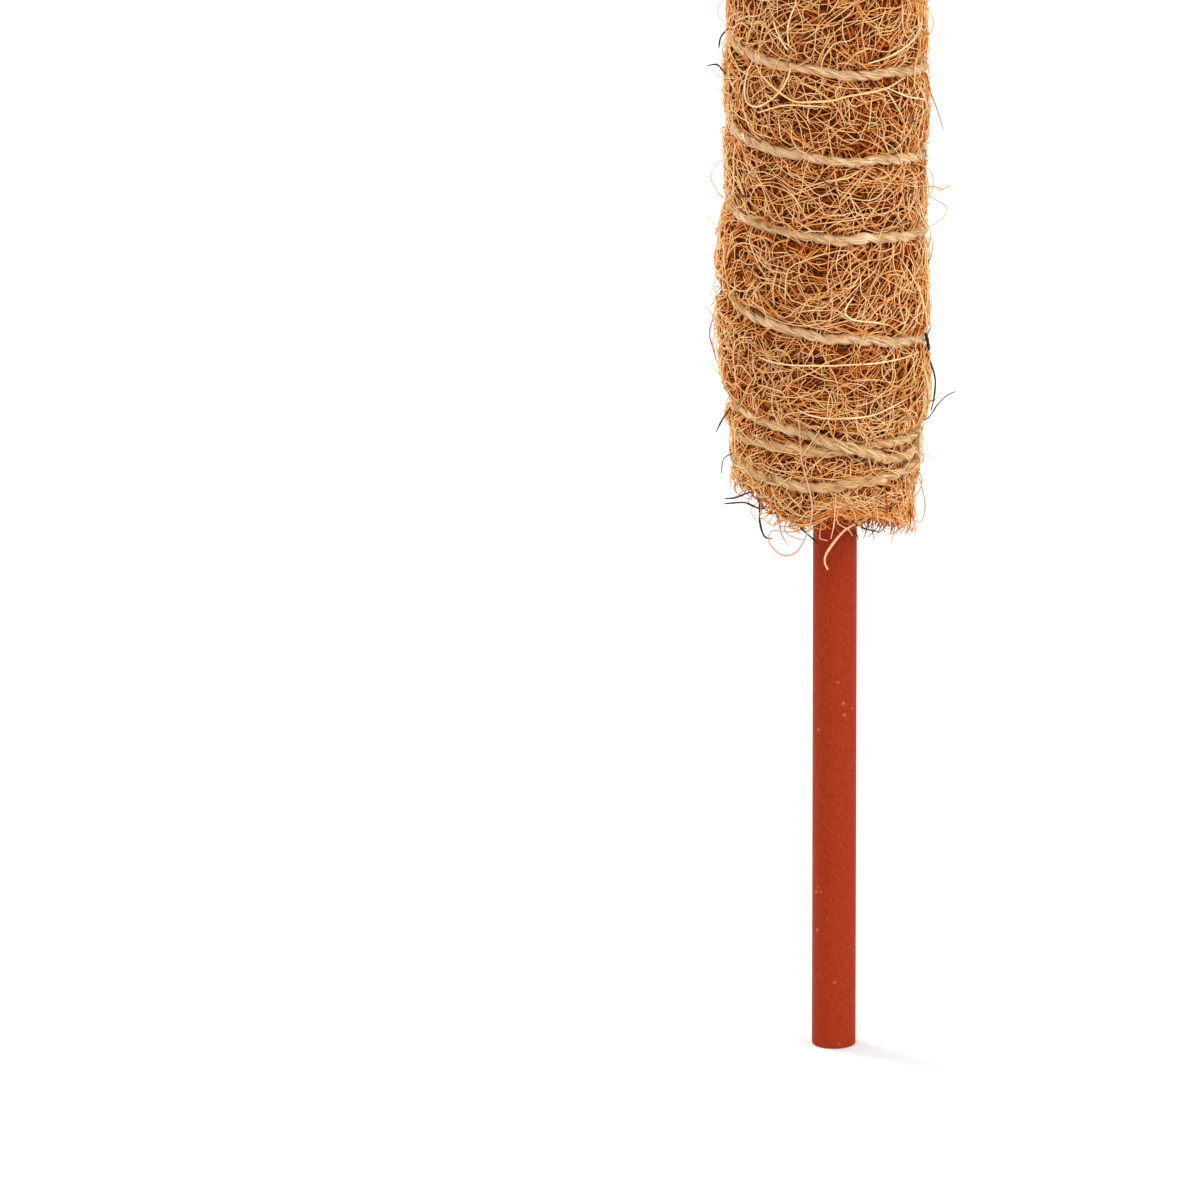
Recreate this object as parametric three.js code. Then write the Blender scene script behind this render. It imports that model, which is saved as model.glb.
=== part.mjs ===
// Moss pole: a sleeve of coir fibre bound with jute twine round a plastic tube.
// The tube's bare lower end is the stake that goes into the soil of a pot.
// Sizes are in millimetres. +Z runs up the pole and the origin is the middle of the tube's foot.
// -Y is the front. The twine's two knots are at the back.
import * as THREE from 'three';

// Pole and tube
const poleLength = 600;
const bareStakeLength = 131;
const tubeDiameter = 10;
const tubeWall = 1;
const tubeEdgeRound = 0.35;
const tubeStandout = 3; // tube that shows above the coir at the head
const sleeveOffset = -2; // X of the sleeve's middle, because it isn't quite centred on the tube

// Coir: an inner wrap round the tube and an outer mat that the twine binds
const coirDiameter = 47; // over the crowns between two turns of twine
const coreWrapThickness = 7;
const coreWrapRecess = 2; // how far the wrap's ends lie inside the mat's
const layerClearance = 0.3; // between the tube, the wrap, the mat and the knots
const matEdgeChamfer = 1.5;
const matRimWidth = 3.9; // from the mat's end to where the ties draw it in
const matRimSlope = 1.3; // over which the rim goes down to the ties
const grooveHalfWidth = 2.6;
const grooveDepth = 2; // from the twine's centre line in to the groove's floor
const crownFullPitch = 15; // turns at least this far apart leave a full crown between them

// Twine
const twineDiameter = 2.6;
const twineSink = 1; // the twine's outside lies this far inside the crowns
const twineSelfGap = 0.8; // where one turn rides over another
const windingTurns = 24;
const footTieTurns = 2.75; // turns of the twine on the foot's ties
const headTieTurns = 2.25;
const tieTightening = 1.2; // the ties draw the mat in by this much on its radius
const tightenTurns = 1.2; // over which the mat comes back to its full size
const windingTilt = 1.1; // each even turn rides higher by this much at +X
const startAngle = Math.PI / 2; // the back

// Heights of the ties over the mat's foot, from the knot at the back and then at each
// eighth of a turn: one turn high up, one down by the edge, and the third rides over both.
// The last height is past the ties and sets their slope.
const footTieKeysPerTurn = 8;
const footTieHeights = [
  16, 15.5, 15.1, 16, 15.5, 15.6, 14.4, 13,
  11, 9.6, 8.7, 8.3, 7, 7.9, 9.5, 10.2,
  10.8, 11.6, 12, 12.2, 18.3, 20.9, 22.5, 25.5,
];

// Depths of the ties under the mat's head, from the knot and then at each quarter turn.
const headTieKeysPerTurn = 4;
const headTieDepths = [8, 9, 10, 11, 12.2, 13, 14, 15, 16.4, 20, 26];

// Pitch of the twine between the ties, in shares of one even turn
const stridePitchShare = 1.19; // the long stride up from the foot's ties
const strideTurns = 1.35;
const blendTurns = 0.3; // over which the stride eases into the even turns
const lowPitchShare = 0.84;
const highPitchShare = 1.13;
const waverPitchShare = 0.05; // unevenness of hand winding
const waversPerTurn = 0.37;

// Knots, one at each end of the twine
const knotDiameter = 4.4;
const knotLength = 5;
const knotEndDiameter = 3.4;
const knotLiftTurns = 0.08; // over which the twine climbs out of its groove to the knot

// Facets
const stepsPerTurn = 24;
const twineSides = 6;
const tubeSides = 32;
const knotSides = 12;

// Places that follow from the sizes
const tubeRadius = tubeDiameter / 2;
const matFoot = bareStakeLength;
const matHead = poleLength - tubeStandout;
const wrapBore = tubeRadius + layerClearance;
const wrapRadius = wrapBore + coreWrapThickness;
const matBore = wrapRadius + layerClearance;
const twineRadius = twineDiameter / 2;
const evenWindingRadius = coirDiameter / 2 - twineSink - twineRadius;
const tieRadius = evenWindingRadius - tieTightening;
const crownRise = coirDiameter / 2 - evenWindingRadius;
const knotLift = knotDiameter / 2 + layerClearance - grooveDepth;
const lastStation = windingTurns * stepsPerTurn;
const grooveStart = footTieTurns * stepsPerTurn;
const grooveEnd = lastStation - headTieTurns * stepsPerTurn;

const materials = {
  tube: new THREE.MeshStandardMaterial({ color: 0xb0411f, roughness: 0.55, metalness: 0 }),
  coir: new THREE.MeshStandardMaterial({ color: 0xa8672f, roughness: 1, metalness: 0 }),
  innerCoir: new THREE.MeshStandardMaterial({ color: 0x7a4a20, roughness: 1, metalness: 0 }),
  twine: new THREE.MeshStandardMaterial({ color: 0xc9a574, roughness: 0.95, metalness: 0 }),
};

// 0 before from, 1 after to, and an S-curve between them.
function ease(value, from, to) {
  const t = Math.min(1, Math.max(0, (value - from) / (to - from)));
  return t * t * (3 - 2 * t);
}

// A smooth curve through values that are evenly spaced along the twine.
function tieCurve(values, keysPerTurn) {
  const curve = new THREE.SplineCurve(values.map((value, i) => new THREE.Vector2(i, value)));
  return (turn) => curve.getPoint(turn * keysPerTurn / (values.length - 1)).y;
}

const footTieHeightAt = tieCurve(footTieHeights, footTieKeysPerTurn);
const headTieDepthAt = tieCurve(headTieDepths, headTieKeysPerTurn);

// How steeply the twine climbs between the ties: one long stride, then turns that
// open up towards the head.
function pitchShareAt(turn) {
  const strideEnd = footTieTurns + strideTurns;
  const headTieStart = windingTurns - headTieTurns;
  const travel = (turn - strideEnd) / (headTieStart - strideEnd);
  const even = lowPitchShare + (highPitchShare - lowPitchShare) * travel
    + waverPitchShare * Math.sin(2 * Math.PI * waversPerTurn * turn);
  const toEven = ease(turn, strideEnd - blendTurns, strideEnd + blendTurns);
  return stridePitchShare + (even - stridePitchShare) * toEven;
}

// 0 on the ties and 1 on the even turns.
function evenness(turn) {
  const fromFoot = ease(turn, footTieTurns, footTieTurns + tightenTurns);
  const fromHead = ease(windingTurns - turn, headTieTurns, headTieTurns + tightenTurns);
  return fromFoot * fromHead;
}

// Heights of the twine between its ties, one for each station from grooveStart to grooveEnd.
function grooveHeights() {
  const climbed = [0];
  for (let station = grooveStart + 1; station <= grooveEnd; station++) {
    const middle = (station - 1 / 2) / stepsPerTurn;
    climbed.push(climbed[climbed.length - 1] + pitchShareAt(middle));
  }
  const low = matFoot + footTieHeightAt(footTieTurns);
  const high = matHead - headTieDepthAt(headTieTurns);
  return climbed.map((climb, i) => {
    const turn = (grooveStart + i) / stepsPerTurn;
    const tilt = windingTilt * evenness(turn) * Math.cos(angleAt(turn));
    return low + (high - low) * climb / climbed[climbed.length - 1] + tilt;
  });
}

// The twine runs down from upper left to lower right across the front.
function angleAt(turn) {
  return startAngle - 2 * Math.PI * turn;
}

// The twine's centre line as stations, stepsPerTurn to each turn. Where a turn of the ties
// crosses an earlier one, it rides over it.
function windingStations() {
  const between = grooveHeights();
  const stations = [];
  for (let station = 0; station <= lastStation; station++) {
    const turn = station / stepsPerTurn;
    let height = between[station - grooveStart];
    if (station < grooveStart) {
      height = matFoot + footTieHeightAt(turn);
    } else if (station > grooveEnd) {
      height = matHead - headTieDepthAt(windingTurns - turn);
    }
    const laid = tieRadius + tieTightening * evenness(turn);
    const reach = twineDiameter + twineSelfGap;
    let radius = laid;
    for (let earlier = station - stepsPerTurn; earlier >= 0; earlier -= stepsPerTurn) {
      const apart = Math.abs(height - stations[earlier].height);
      if (apart < reach) {
        radius = Math.max(radius, stations[earlier].radius + Math.sqrt(reach ** 2 - apart ** 2));
      }
    }
    stations.push({ angle: angleAt(turn), height, laid, radius });
  }
  return stations;
}

const stations = windingStations();

// A point round the sleeve's own axis, or round another one that is upright at X = middle.
function cylindrical(angle, radius, height, middle = sleeveOffset) {
  return new THREE.Vector3(middle + radius * Math.cos(angle), radius * Math.sin(angle), height);
}

// Collects shared vertices and faces for one closed surface.
class SurfaceBuilder {
  positions = [];
  indices = [];

  vertex(point) {
    this.positions.push(point.x, point.y, point.z);
    return this.positions.length / 3 - 1;
  }

  // A nearly flat polygon, split into triangles from its first corner. Corners that
  // repeat are left out.
  polygon(...corners) {
    const distinct = [...new Set(corners)];
    for (let i = 1; i + 1 < distinct.length; i++) {
      this.indices.push(distinct[0], distinct[i], distinct[i + 1]);
    }
  }

  // The strip between two closed rings of the same number of vertices.
  band(ring, nextRing) {
    ring.forEach((corner, i) => {
      const j = (i + 1) % ring.length;
      this.polygon(corner, ring[j], nextRing[j], nextRing[i]);
    });
  }

  geometry() {
    const geometry = new THREE.BufferGeometry();
    geometry.setAttribute('position', new THREE.Float32BufferAttribute(this.positions, 3));
    geometry.setIndex(this.indices);
    geometry.computeVertexNormals();
    return geometry;
  }
}

// A ring of material round the pole's axis, from an outline of [radius, height] points
// that runs anticlockwise and closes on itself.
function turnedRing(outline, sides) {
  const profile = outline.map(([radius, height]) => new THREE.Vector2(radius, height));
  profile.push(profile[0].clone());
  return new THREE.LatheGeometry(profile, sides).rotateX(Math.PI / 2);
}

// The plastic tube, with both ends open and their outer edges rounded over.
function tubeGeometry() {
  const bore = tubeRadius - tubeWall;
  const roundTo = tubeRadius - tubeEdgeRound;
  const outline = [
    [bore, 0],
    [roundTo, 0],
    [tubeRadius, tubeEdgeRound],
    [tubeRadius, poleLength - tubeEdgeRound],
    [roundTo, poleLength],
    [bore, poleLength],
  ];
  return turnedRing(outline, tubeSides);
}

// The inner wrap of coir that fills the space between the tube and the mat. Its bore is
// centred on the tube and its outside on the sleeve.
function coreWrapGeometry() {
  const surface = new SurfaceBuilder();
  const foot = matFoot + coreWrapRecess;
  const head = matHead - coreWrapRecess;
  const level = (radius, height, middle) => Array.from({ length: stepsPerTurn }, (_, i) =>
    surface.vertex(cylindrical(angleAt(i / stepsPerTurn), radius, height, middle)));
  const rings = [
    level(wrapBore, foot, 0),
    level(wrapBore, head, 0),
    level(wrapRadius, head, sleeveOffset),
    level(wrapRadius, foot, sleeveOffset),
  ];
  rings.forEach((ring, i) => surface.band(ring, rings[(i + 1) % rings.length]));
  return surface.geometry();
}

// The groove's line at a station. Before the groove starts and after it ends, the line
// stays level round the pole, at the edge of the band that the ties draw in.
function grooveAt(station) {
  const { height, laid } = stations[Math.min(grooveEnd, Math.max(grooveStart, station))];
  return { height, floor: laid - grooveDepth };
}

// The mat's section from the groove up to one turn higher, as [height, radius] points
// between the two floors: the shoulder, the crown and the next shoulder.
function matSection(station) {
  const here = grooveAt(station);
  const above = grooveAt(station + stepsPerTurn);
  const pitch = above.height - here.height;
  const shoulder = Math.min(grooveHalfWidth, pitch / 3);
  const shoulderRise = grooveDepth * shoulder / grooveHalfWidth;
  const middleRise = grooveDepth * Math.min(1, pitch / 2 / grooveHalfWidth);
  const crownShare = ease(pitch, 2 * grooveHalfWidth, crownFullPitch);
  return [
    [here.height + shoulder, here.floor + shoulderRise],
    [here.height + pitch / 2, here.floor + middleRise + crownRise * crownShare],
    [above.height - shoulder, above.floor + shoulderRise],
  ];
}

// The outer mat. Its outside is one strip that winds up the pole with the twine, between
// two level bands for the ties. The first and last section of the strip have no height.
function matGeometry() {
  const surface = new SurfaceBuilder();
  const first = grooveStart - stepsPerTurn;
  const last = grooveEnd + stepsPerTurn;
  const floorVertices = new Map();
  for (let station = grooveStart; station < last; station++) {
    const { height, floor } = grooveAt(station);
    floorVertices.set(station, surface.vertex(cylindrical(angleAt(station / stepsPerTurn), floor, height)));
  }
  for (let station = first; station < grooveStart; station++) {
    const { height, floor } = grooveAt(station);
    floorVertices.set(station, surface.vertex(cylindrical(angleAt(station / stepsPerTurn), floor, height)));
  }
  floorVertices.set(first, floorVertices.get(grooveStart));
  floorVertices.set(last, floorVertices.get(grooveEnd));
  const columns = [];
  for (let station = first; station <= grooveEnd; station++) {
    const low = floorVertices.get(station);
    const high = floorVertices.get(station + stepsPerTurn);
    const angle = angleAt(station / stepsPerTurn);
    const between = low === high ? [low, low, low] : matSection(station).map(
      ([height, radius]) => surface.vertex(cylindrical(angle, radius, height)));
    columns.push([low, ...between, high]);
  }
  for (let i = 0; i + 1 < columns.length; i++) {
    for (let point = 0; point + 1 < columns[i].length; point++) {
      surface.polygon(
        columns[i][point], columns[i][point + 1],
        columns[i + 1][point + 1], columns[i + 1][point]);
    }
  }

  const level = (radius, height) => Array.from({ length: stepsPerTurn }, (_, i) =>
    surface.vertex(cylindrical(angleAt((first + i) / stepsPerTurn), radius, height)));
  const floorRing = (from) => Array.from({ length: stepsPerTurn }, (_, i) =>
    floorVertices.get(from + i));
  const bandFloor = tieRadius - grooveDepth;
  const edgeRadius = tieRadius - matEdgeChamfer;
  const endRings = (end, inward) => [
    level(bandFloor, end + inward * (matRimWidth + matRimSlope)),
    level(tieRadius, end + inward * matRimWidth),
    level(tieRadius, end + inward * matEdgeChamfer),
    level(edgeRadius, end),
    level(matBore, end),
  ];
  const foot = [floorRing(first), ...endRings(matFoot, 1)];
  const head = [...endRings(matHead, -1).reverse(), floorRing(grooveEnd)];
  const rings = [...foot, ...head];
  for (let i = 0; i + 1 < rings.length; i++) {
    surface.band(rings[i], rings[i + 1]);
  }
  return surface.geometry();
}

// The twine's centre line as points. Its ends climb a little and run straight for one
// diameter, where each meets its knot.
function twineLine() {
  const line = stations.map(({ angle, height, radius }, station) => {
    const turn = station / stepsPerTurn;
    const towardsFoot = 1 - ease(turn, 0, knotLiftTurns);
    const towardsHead = 1 - ease(windingTurns - turn, 0, knotLiftTurns);
    return cylindrical(angle, radius + knotLift * Math.max(towardsFoot, towardsHead), height);
  });
  const straightOn = (end, before) =>
    end.clone().addScaledVector(end.clone().sub(before).normalize(), twineDiameter);
  const footEnd = straightOn(line[0], line[1]);
  const headEnd = straightOn(line[line.length - 1], line[line.length - 2]);
  return [footEnd, ...line, headEnd];
}

const line = twineLine();

// One unbroken tube along the line, with flat ends.
function twineGeometry() {
  const surface = new SurfaceBuilder();
  const rings = line.map((point, i) => {
    const along = line[Math.min(i + 1, line.length - 1)].clone()
      .sub(line[Math.max(i - 1, 0)]).normalize();
    const outward = new THREE.Vector3(point.x - sleeveOffset, point.y, 0);
    outward.addScaledVector(along, -outward.dot(along)).normalize();
    const across = along.clone().cross(outward);
    return Array.from({ length: twineSides }, (_, side) => {
      const turned = 2 * Math.PI * side / twineSides;
      return surface.vertex(point.clone()
        .addScaledVector(outward, twineRadius * Math.cos(turned))
        .addScaledVector(across, twineRadius * Math.sin(turned)));
    });
  });
  for (let i = 0; i + 1 < rings.length; i++) {
    surface.band(rings[i], rings[i + 1]);
  }
  surface.polygon(...[...rings[0]].reverse());
  surface.polygon(...rings[rings.length - 1]);
  return surface.geometry();
}

// The least gap between the twine and itself, measured from each point of its centre line
// to each straight piece that is at least half a turn away along the twine.
function leastTwineGap() {
  const apart = stepsPerTurn / 2;
  const nearest = new THREE.Vector3();
  let least = Infinity;
  for (let i = 0; i < line.length; i++) {
    for (let j = 0; j + 1 < line.length; j++) {
      if (Math.abs(i - j) >= apart) {
        new THREE.Line3(line[j], line[j + 1]).closestPointToPoint(line[i], true, nearest);
        least = Math.min(least, line[i].distanceTo(nearest));
      }
    }
  }
  return least - twineDiameter;
}

// A knot as a barrel with flat ends, in line with the end of the twine that it holds.
function knotMesh(name, end, before) {
  const half = knotLength / 2;
  const outline = [
    new THREE.Vector2(0, -half),
    new THREE.Vector2(knotEndDiameter / 2, -half),
    new THREE.Vector2(knotDiameter / 2, 0),
    new THREE.Vector2(knotEndDiameter / 2, half),
    new THREE.Vector2(0, half),
  ];
  const knot = new THREE.Mesh(new THREE.LatheGeometry(outline, knotSides), materials.twine);
  const along = end.clone().sub(before).normalize();
  knot.name = name;
  knot.position.copy(end).addScaledVector(along, half + layerClearance);
  knot.quaternion.setFromUnitVectors(new THREE.Vector3(0, 1, 0), along);
  return knot;
}

function namedMesh(name, geometry, material) {
  const mesh = new THREE.Mesh(geometry, material);
  mesh.name = name;
  return mesh;
}

const pole = new THREE.Group();
pole.name = 'moss_pole';
pole.add(namedMesh('core_tube', tubeGeometry(), materials.tube));

const sleeve = new THREE.Group();
sleeve.name = 'coir_sleeve';
sleeve.add(namedMesh('coir_core_wrap', coreWrapGeometry(), materials.innerCoir));
sleeve.add(namedMesh('coir_mat', matGeometry(), materials.coir));
pole.add(sleeve);

const binding = new THREE.Group();
binding.name = 'twine_binding';
binding.add(namedMesh('binding_twine', twineGeometry(), materials.twine));
binding.add(knotMesh('foot_knot', line[0], line[1]));
binding.add(knotMesh('head_knot', line[line.length - 1], line[line.length - 2]));
pole.add(binding);

console.log(`least gap between the twine and itself: ${leastTwineGap().toFixed(2)} mm`);

export default pole;
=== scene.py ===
import bpy
import numpy as np
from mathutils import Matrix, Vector


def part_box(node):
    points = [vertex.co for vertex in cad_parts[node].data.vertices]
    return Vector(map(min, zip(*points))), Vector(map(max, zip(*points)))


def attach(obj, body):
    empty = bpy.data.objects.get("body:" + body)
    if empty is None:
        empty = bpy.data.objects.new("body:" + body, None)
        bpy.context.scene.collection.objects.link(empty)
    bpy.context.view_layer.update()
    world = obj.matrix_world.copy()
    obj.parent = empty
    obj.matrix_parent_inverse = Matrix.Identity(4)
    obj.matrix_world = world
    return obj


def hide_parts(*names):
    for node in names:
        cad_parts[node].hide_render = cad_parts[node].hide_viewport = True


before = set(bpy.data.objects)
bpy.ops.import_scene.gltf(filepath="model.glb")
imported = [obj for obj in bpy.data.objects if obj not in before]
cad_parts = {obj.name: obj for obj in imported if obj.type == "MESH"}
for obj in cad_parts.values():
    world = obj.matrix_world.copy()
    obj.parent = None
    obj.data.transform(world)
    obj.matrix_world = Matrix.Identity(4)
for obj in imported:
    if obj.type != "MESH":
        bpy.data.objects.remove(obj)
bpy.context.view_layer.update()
mm = 0.001
tau = 2 * np.pi
chance = np.random.default_rng(5)
normal = chance.standard_normal

# places that come from the CAD frame
tubeLow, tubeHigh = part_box("core_tube")
matLow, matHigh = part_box("coir_mat")
tubeRadius = (tubeHigh.x - tubeLow.x) / 2
poleHead = tubeHigh.z
coirFoot = matLow.z
coirHead = matHigh.z
crownRadius = (matHigh.x - matLow.x) / 2
sleeveX = (matHigh.x + matLow.x) / 2
print("frame read: coir from", round(coirFoot, 4), "to", round(coirHead, 4))


# The photograph's frame
photo = {
    "size": 1200,
    "tubeMiddle": 834.8,  # pixels, across
    "tubeFoot": 1045,  # pixels, down
    "tubeWidth": 43.9,  # pixels
    "lookDown": np.radians(16),
    "distance": 6.0,
    "sensor": 36,
}
pixel = 2 * tubeRadius / photo["tubeWidth"]  # metres


# 0 before low, 1 after high, and an S-curve between them.
def ease(value, low, high):
    t = np.clip((value - low) / (high - low), 0, 1)
    return t * t * (3 - 2 * t)


# A sum of sines with random directions and phases, mostly between -1 and 1
def lumps(angle, height, cycles, wave, count, seed):
    dice = np.random.default_rng(seed)
    total = np.zeros(np.broadcast(angle, height).shape)
    for around, tall, phase in zip(
        dice.integers(-cycles, cycles + 1, count),
        dice.uniform(-1, 1, count) * tau / wave,
        dice.uniform(0, tau, count),
    ):
        total += np.sin(around * angle + tall * height + phase)
    return total / np.sqrt(count)


def unit(vectors):
    return vectors / (np.linalg.norm(vectors, axis=-1, keepdims=True) + 1e-12)


# The part of each vector that is square to along, as a unit vector
def squareTo(along, vectors):
    return unit(vectors - along * np.sum(vectors * along, axis=-1, keepdims=True))


# Points round the sleeve's own axis: x = middle + r cos a, y = r sin a, z = height.
def roundSleeve(angle, radius, height):
    return np.stack(
        [sleeveX + radius * np.cos(angle), radius * np.sin(angle), height + 0 * angle], axis=-1
    )


def addObject(name, data):
    thing = bpy.data.objects.new(name, data)
    bpy.context.scene.collection.objects.link(thing)
    return thing


# Puts a surface into a mesh object that rides on the pole. faces is a list of arrays of
# corner numbers, and uv is a pair: u and v, each for every point.
def addPiece(name, points, faces, material, uv=None, stage=False):
    corners = np.concatenate([f.ravel() for f in faces]).astype(np.int32)
    sizes = np.concatenate([np.full(len(f), f.shape[1]) for f in faces])
    starts = np.concatenate([[0], np.cumsum(sizes)[:-1]]).astype(np.int32)
    mesh = bpy.data.meshes.new(name)
    mesh.vertices.add(len(points))
    mesh.vertices.foreach_set("co", np.ascontiguousarray(points, np.float32).ravel())
    mesh.loops.add(len(corners))
    mesh.loops.foreach_set("vertex_index", corners)
    mesh.polygons.add(len(sizes))
    mesh.polygons.foreach_set("loop_start", starts)
    mesh.polygons.foreach_set("use_smooth", np.ones(len(sizes), bool))
    if uv:
        places = np.stack(np.broadcast_arrays(*uv), axis=-1).reshape(-1, 2)
        layer = mesh.uv_layers.new(name="OFBake")
        layer.uv.foreach_set("vector", np.ascontiguousarray(places[corners], np.float32).ravel())
    mesh.update(calc_edges=True)
    piece = addObject(name, mesh)
    mesh.materials.append(material)
    if stage:
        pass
    else:
        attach(piece, "root")
    return piece


# Quads of a grid of rows by columns, with the columns closed into rings.
def ringQuads(rows, columns, closeRows=False):
    row = np.arange(rows if closeRows else rows - 1)[:, None]
    column = np.arange(columns)[None]
    nextRow = (row + 1) % rows
    nextColumn = (column + 1) % columns
    quads = [row * columns + column, row * columns + nextColumn]
    quads += [nextRow * columns + nextColumn, nextRow * columns + column]
    return np.stack([q + 0 * row + 0 * column for q in quads], axis=-1).reshape(-1, 4)


# Carries a round profile along many paths at once: point + r (flat cos t out + sin t across),
# square to the path. paths is (count, steps, 3), radii (count, steps). out is away from the
# sleeve's axis and a little up, unless it is given.
def sweep(paths, radii, sides, flat=1.0, out=None):
    count, steps = radii.shape
    along = unit(np.gradient(paths, axis=1))
    if out is None:
        out = paths - [sleeveX, 0, 0]
        out[..., 2] = 0.3 * np.linalg.norm(out[..., :2], axis=-1)
    out = squareTo(along, out)
    across = np.cross(along, out)
    t = (tau * np.arange(sides) / sides)[:, None]
    size = radii[..., None, None]
    profile = flat * np.cos(t) * out[:, :, None] + np.sin(t) * across[:, :, None]
    rings = paths[:, :, None] + size * profile
    first = (np.arange(count) * steps * sides)[:, None]
    quads = (first[..., None] + ringQuads(steps, sides)[None]).reshape(-1, 4)
    starts = first + np.arange(sides)[None, ::-1]
    ends = first + (steps - 1) * sides + np.arange(sides)[None]
    return rings.reshape(-1, 3), [quads, starts, ends]


# The twine's route, as in the part's source, but 0.5 mm further out, because the strands
# are pressed flat. It starts at the knot at the back of the foot and ends at the one at the
# back of the head.
twine = {
    "diameter": 2.6 * mm,
    "sink": 0.5 * mm,  # its outside lies this far inside the coir's crowns
    "selfGap": 0.3 * mm,
    "turns": 24,
    "footTieTurns": 2.75,
    "headTieTurns": 2.25,
    "tieTightening": 0.9 * mm,
    "tightenTurns": 0.9,
    "tilt": 1.1 * mm,
    "stridePitchShare": 1.19,
    "strideTurns": 1.35,
    "blendTurns": 0.3,
    "lowPitchShare": 0.84,
    "highPitchShare": 1.13,
    "waverPitchShare": 0.05,
    "waversPerTurn": 0.37,
    "footKeysPerTurn": 8,
    "headKeysPerTurn": 4,
}
footTieHeights = mm * np.array([
    16, 15.5, 15.1, 16, 15.5, 15.6, 14.4, 13,
    11, 9.6, 8.7, 8.3, 7, 7.9, 9.5, 10.2,
    10.8, 11.6, 12, 12.2, 18.3, 20.9, 22.5, 25.5,
])
headTieDepths = mm * np.array([8, 9, 10, 11, 12.2, 13, 14, 15, 16.4, 20, 26])
stepsPerTurn = 96
twineRadius = twine["diameter"] / 2
evenRadius = crownRadius - twine["sink"] - twineRadius


# A smooth curve through evenly spaced values: a cubic between each two, whose slope at a
# value is half the difference of its neighbours.
def smoothThrough(values, place):
    last = len(values) - 1
    i = np.clip(np.floor(place).astype(int), 0, last)
    t = place - i
    before, here = values[np.maximum(i - 1, 0)], values[i]
    after, beyond = values[np.minimum(i + 1, last)], values[np.minimum(i + 2, last)]
    slope, nextSlope = (after - before) / 2, (beyond - here) / 2
    bend = 2 * here - 2 * after + slope + nextSlope
    turnIn = -3 * here + 3 * after - 2 * slope - nextSlope
    return ((bend * t + turnIn) * t + slope) * t + here


def evenness(turn):
    w = twine
    fromFoot = ease(turn, w["footTieTurns"], w["footTieTurns"] + w["tightenTurns"])
    back = w["turns"] - turn
    return fromFoot * ease(back, w["headTieTurns"], w["headTieTurns"] + w["tightenTurns"])


# Height against turn: the tie curves at both ends and, between them, the running sum of a
# pitch that starts with one long stride and then grows evenly.
def twineRoute():
    w = twine
    turn = np.arange(w["turns"] * stepsPerTurn + 1) / stepsPerTurn
    footTurn, headTurn = w["footTieTurns"], w["turns"] - w["headTieTurns"]
    footHeight = coirFoot + smoothThrough(footTieHeights, turn * w["footKeysPerTurn"])
    headHeight = coirHead - smoothThrough(headTieDepths, (w["turns"] - turn) * w["headKeysPerTurn"])
    strideEnd = footTurn + w["strideTurns"]
    travel = (turn - strideEnd) / (headTurn - strideEnd)
    share = w["lowPitchShare"] + (w["highPitchShare"] - w["lowPitchShare"]) * travel
    share += w["waverPitchShare"] * np.sin(tau * w["waversPerTurn"] * turn)
    toEven = ease(turn, strideEnd - w["blendTurns"], strideEnd + w["blendTurns"])
    share = w["stridePitchShare"] + (share - w["stridePitchShare"]) * toEven
    between = (turn >= footTurn) & (turn <= headTurn)
    climb = np.cumsum(np.where(between, share, 0))
    first, last = np.flatnonzero(between)[[0, -1]]
    climb = (climb - climb[first]) / (climb[last] - climb[first])
    angle = np.pi / 2 - tau * turn
    height = footHeight[first] + (headHeight[last] - footHeight[first]) * climb
    height += w["tilt"] * evenness(turn) * np.cos(angle)
    height = np.where(turn < footTurn, footHeight, np.where(turn > headTurn, headHeight, height))
    laid = evenRadius - w["tieTightening"] * (1 - evenness(turn))
    radius = laid.copy()
    reach = w["diameter"] + w["selfGap"]
    for start in range(stepsPerTurn, len(turn), stepsPerTurn):  # a later turn rides over earlier ones
        here = np.arange(start, min(start + stepsPerTurn, len(turn)))
        for earlier in range(start - stepsPerTurn, max(-1, start - 3 * stepsPerTurn), -stepsPerTurn):
            below = here - (start - earlier)
            apart = np.minimum(np.abs(height[here] - height[below]), reach)
            over = radius[below] + np.sqrt(reach**2 - apart**2)
            radius[here] = np.where(apart < reach, np.maximum(radius[here], over), radius[here])
    return turn, angle, height, laid, radius


routeTurn, routeAngle, routeHeight, routeLaid, routeRadius = twineRoute()
print("twine route:", len(routeTurn), "points")

# The coir's outside
coir = {
    "loft": 0.25 * mm,  # loose fibres stand this far over the surface
    "grooveWidth": 1.4 * mm,  # the narrow cut that the twine makes
    "dipWidth": 6 * mm,  # and the soft dip on both sides of it
    "dipDepth": 0.25 * mm,
    "endDrawnIn": 2.1 * mm,  # how much narrower the ragged ends are
    "endLength": 30 * mm,
    "endTuck": 1.4 * mm,  # and further at the very ends
    "lumpHeight": 0.55 * mm,
    "lumpCycles": 4,
    "lumpWave": 45 * mm,
    "bulge": 2.2 * mm,  # the sleeve is fuller low down on the left
    "bulgeAngle": np.pi,
    "bulgeWidth": 1.2,
    "bulgeUp": 50 * mm,
    "bulgeTall": 22 * mm,
    "footDrop": 0.6 * mm,
    "footSlant": 4.8 * mm,  # the ragged foot hangs lower at +X
    "footWaves": (  # height, angle and width
        (2.4 * mm, -1.08, 0.5),
        (-2.2 * mm, -1.98, 0.34),
        (1.3 * mm, -2.5, 0.3),
    ),
    "ragged": 0.8 * mm,
}


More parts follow.
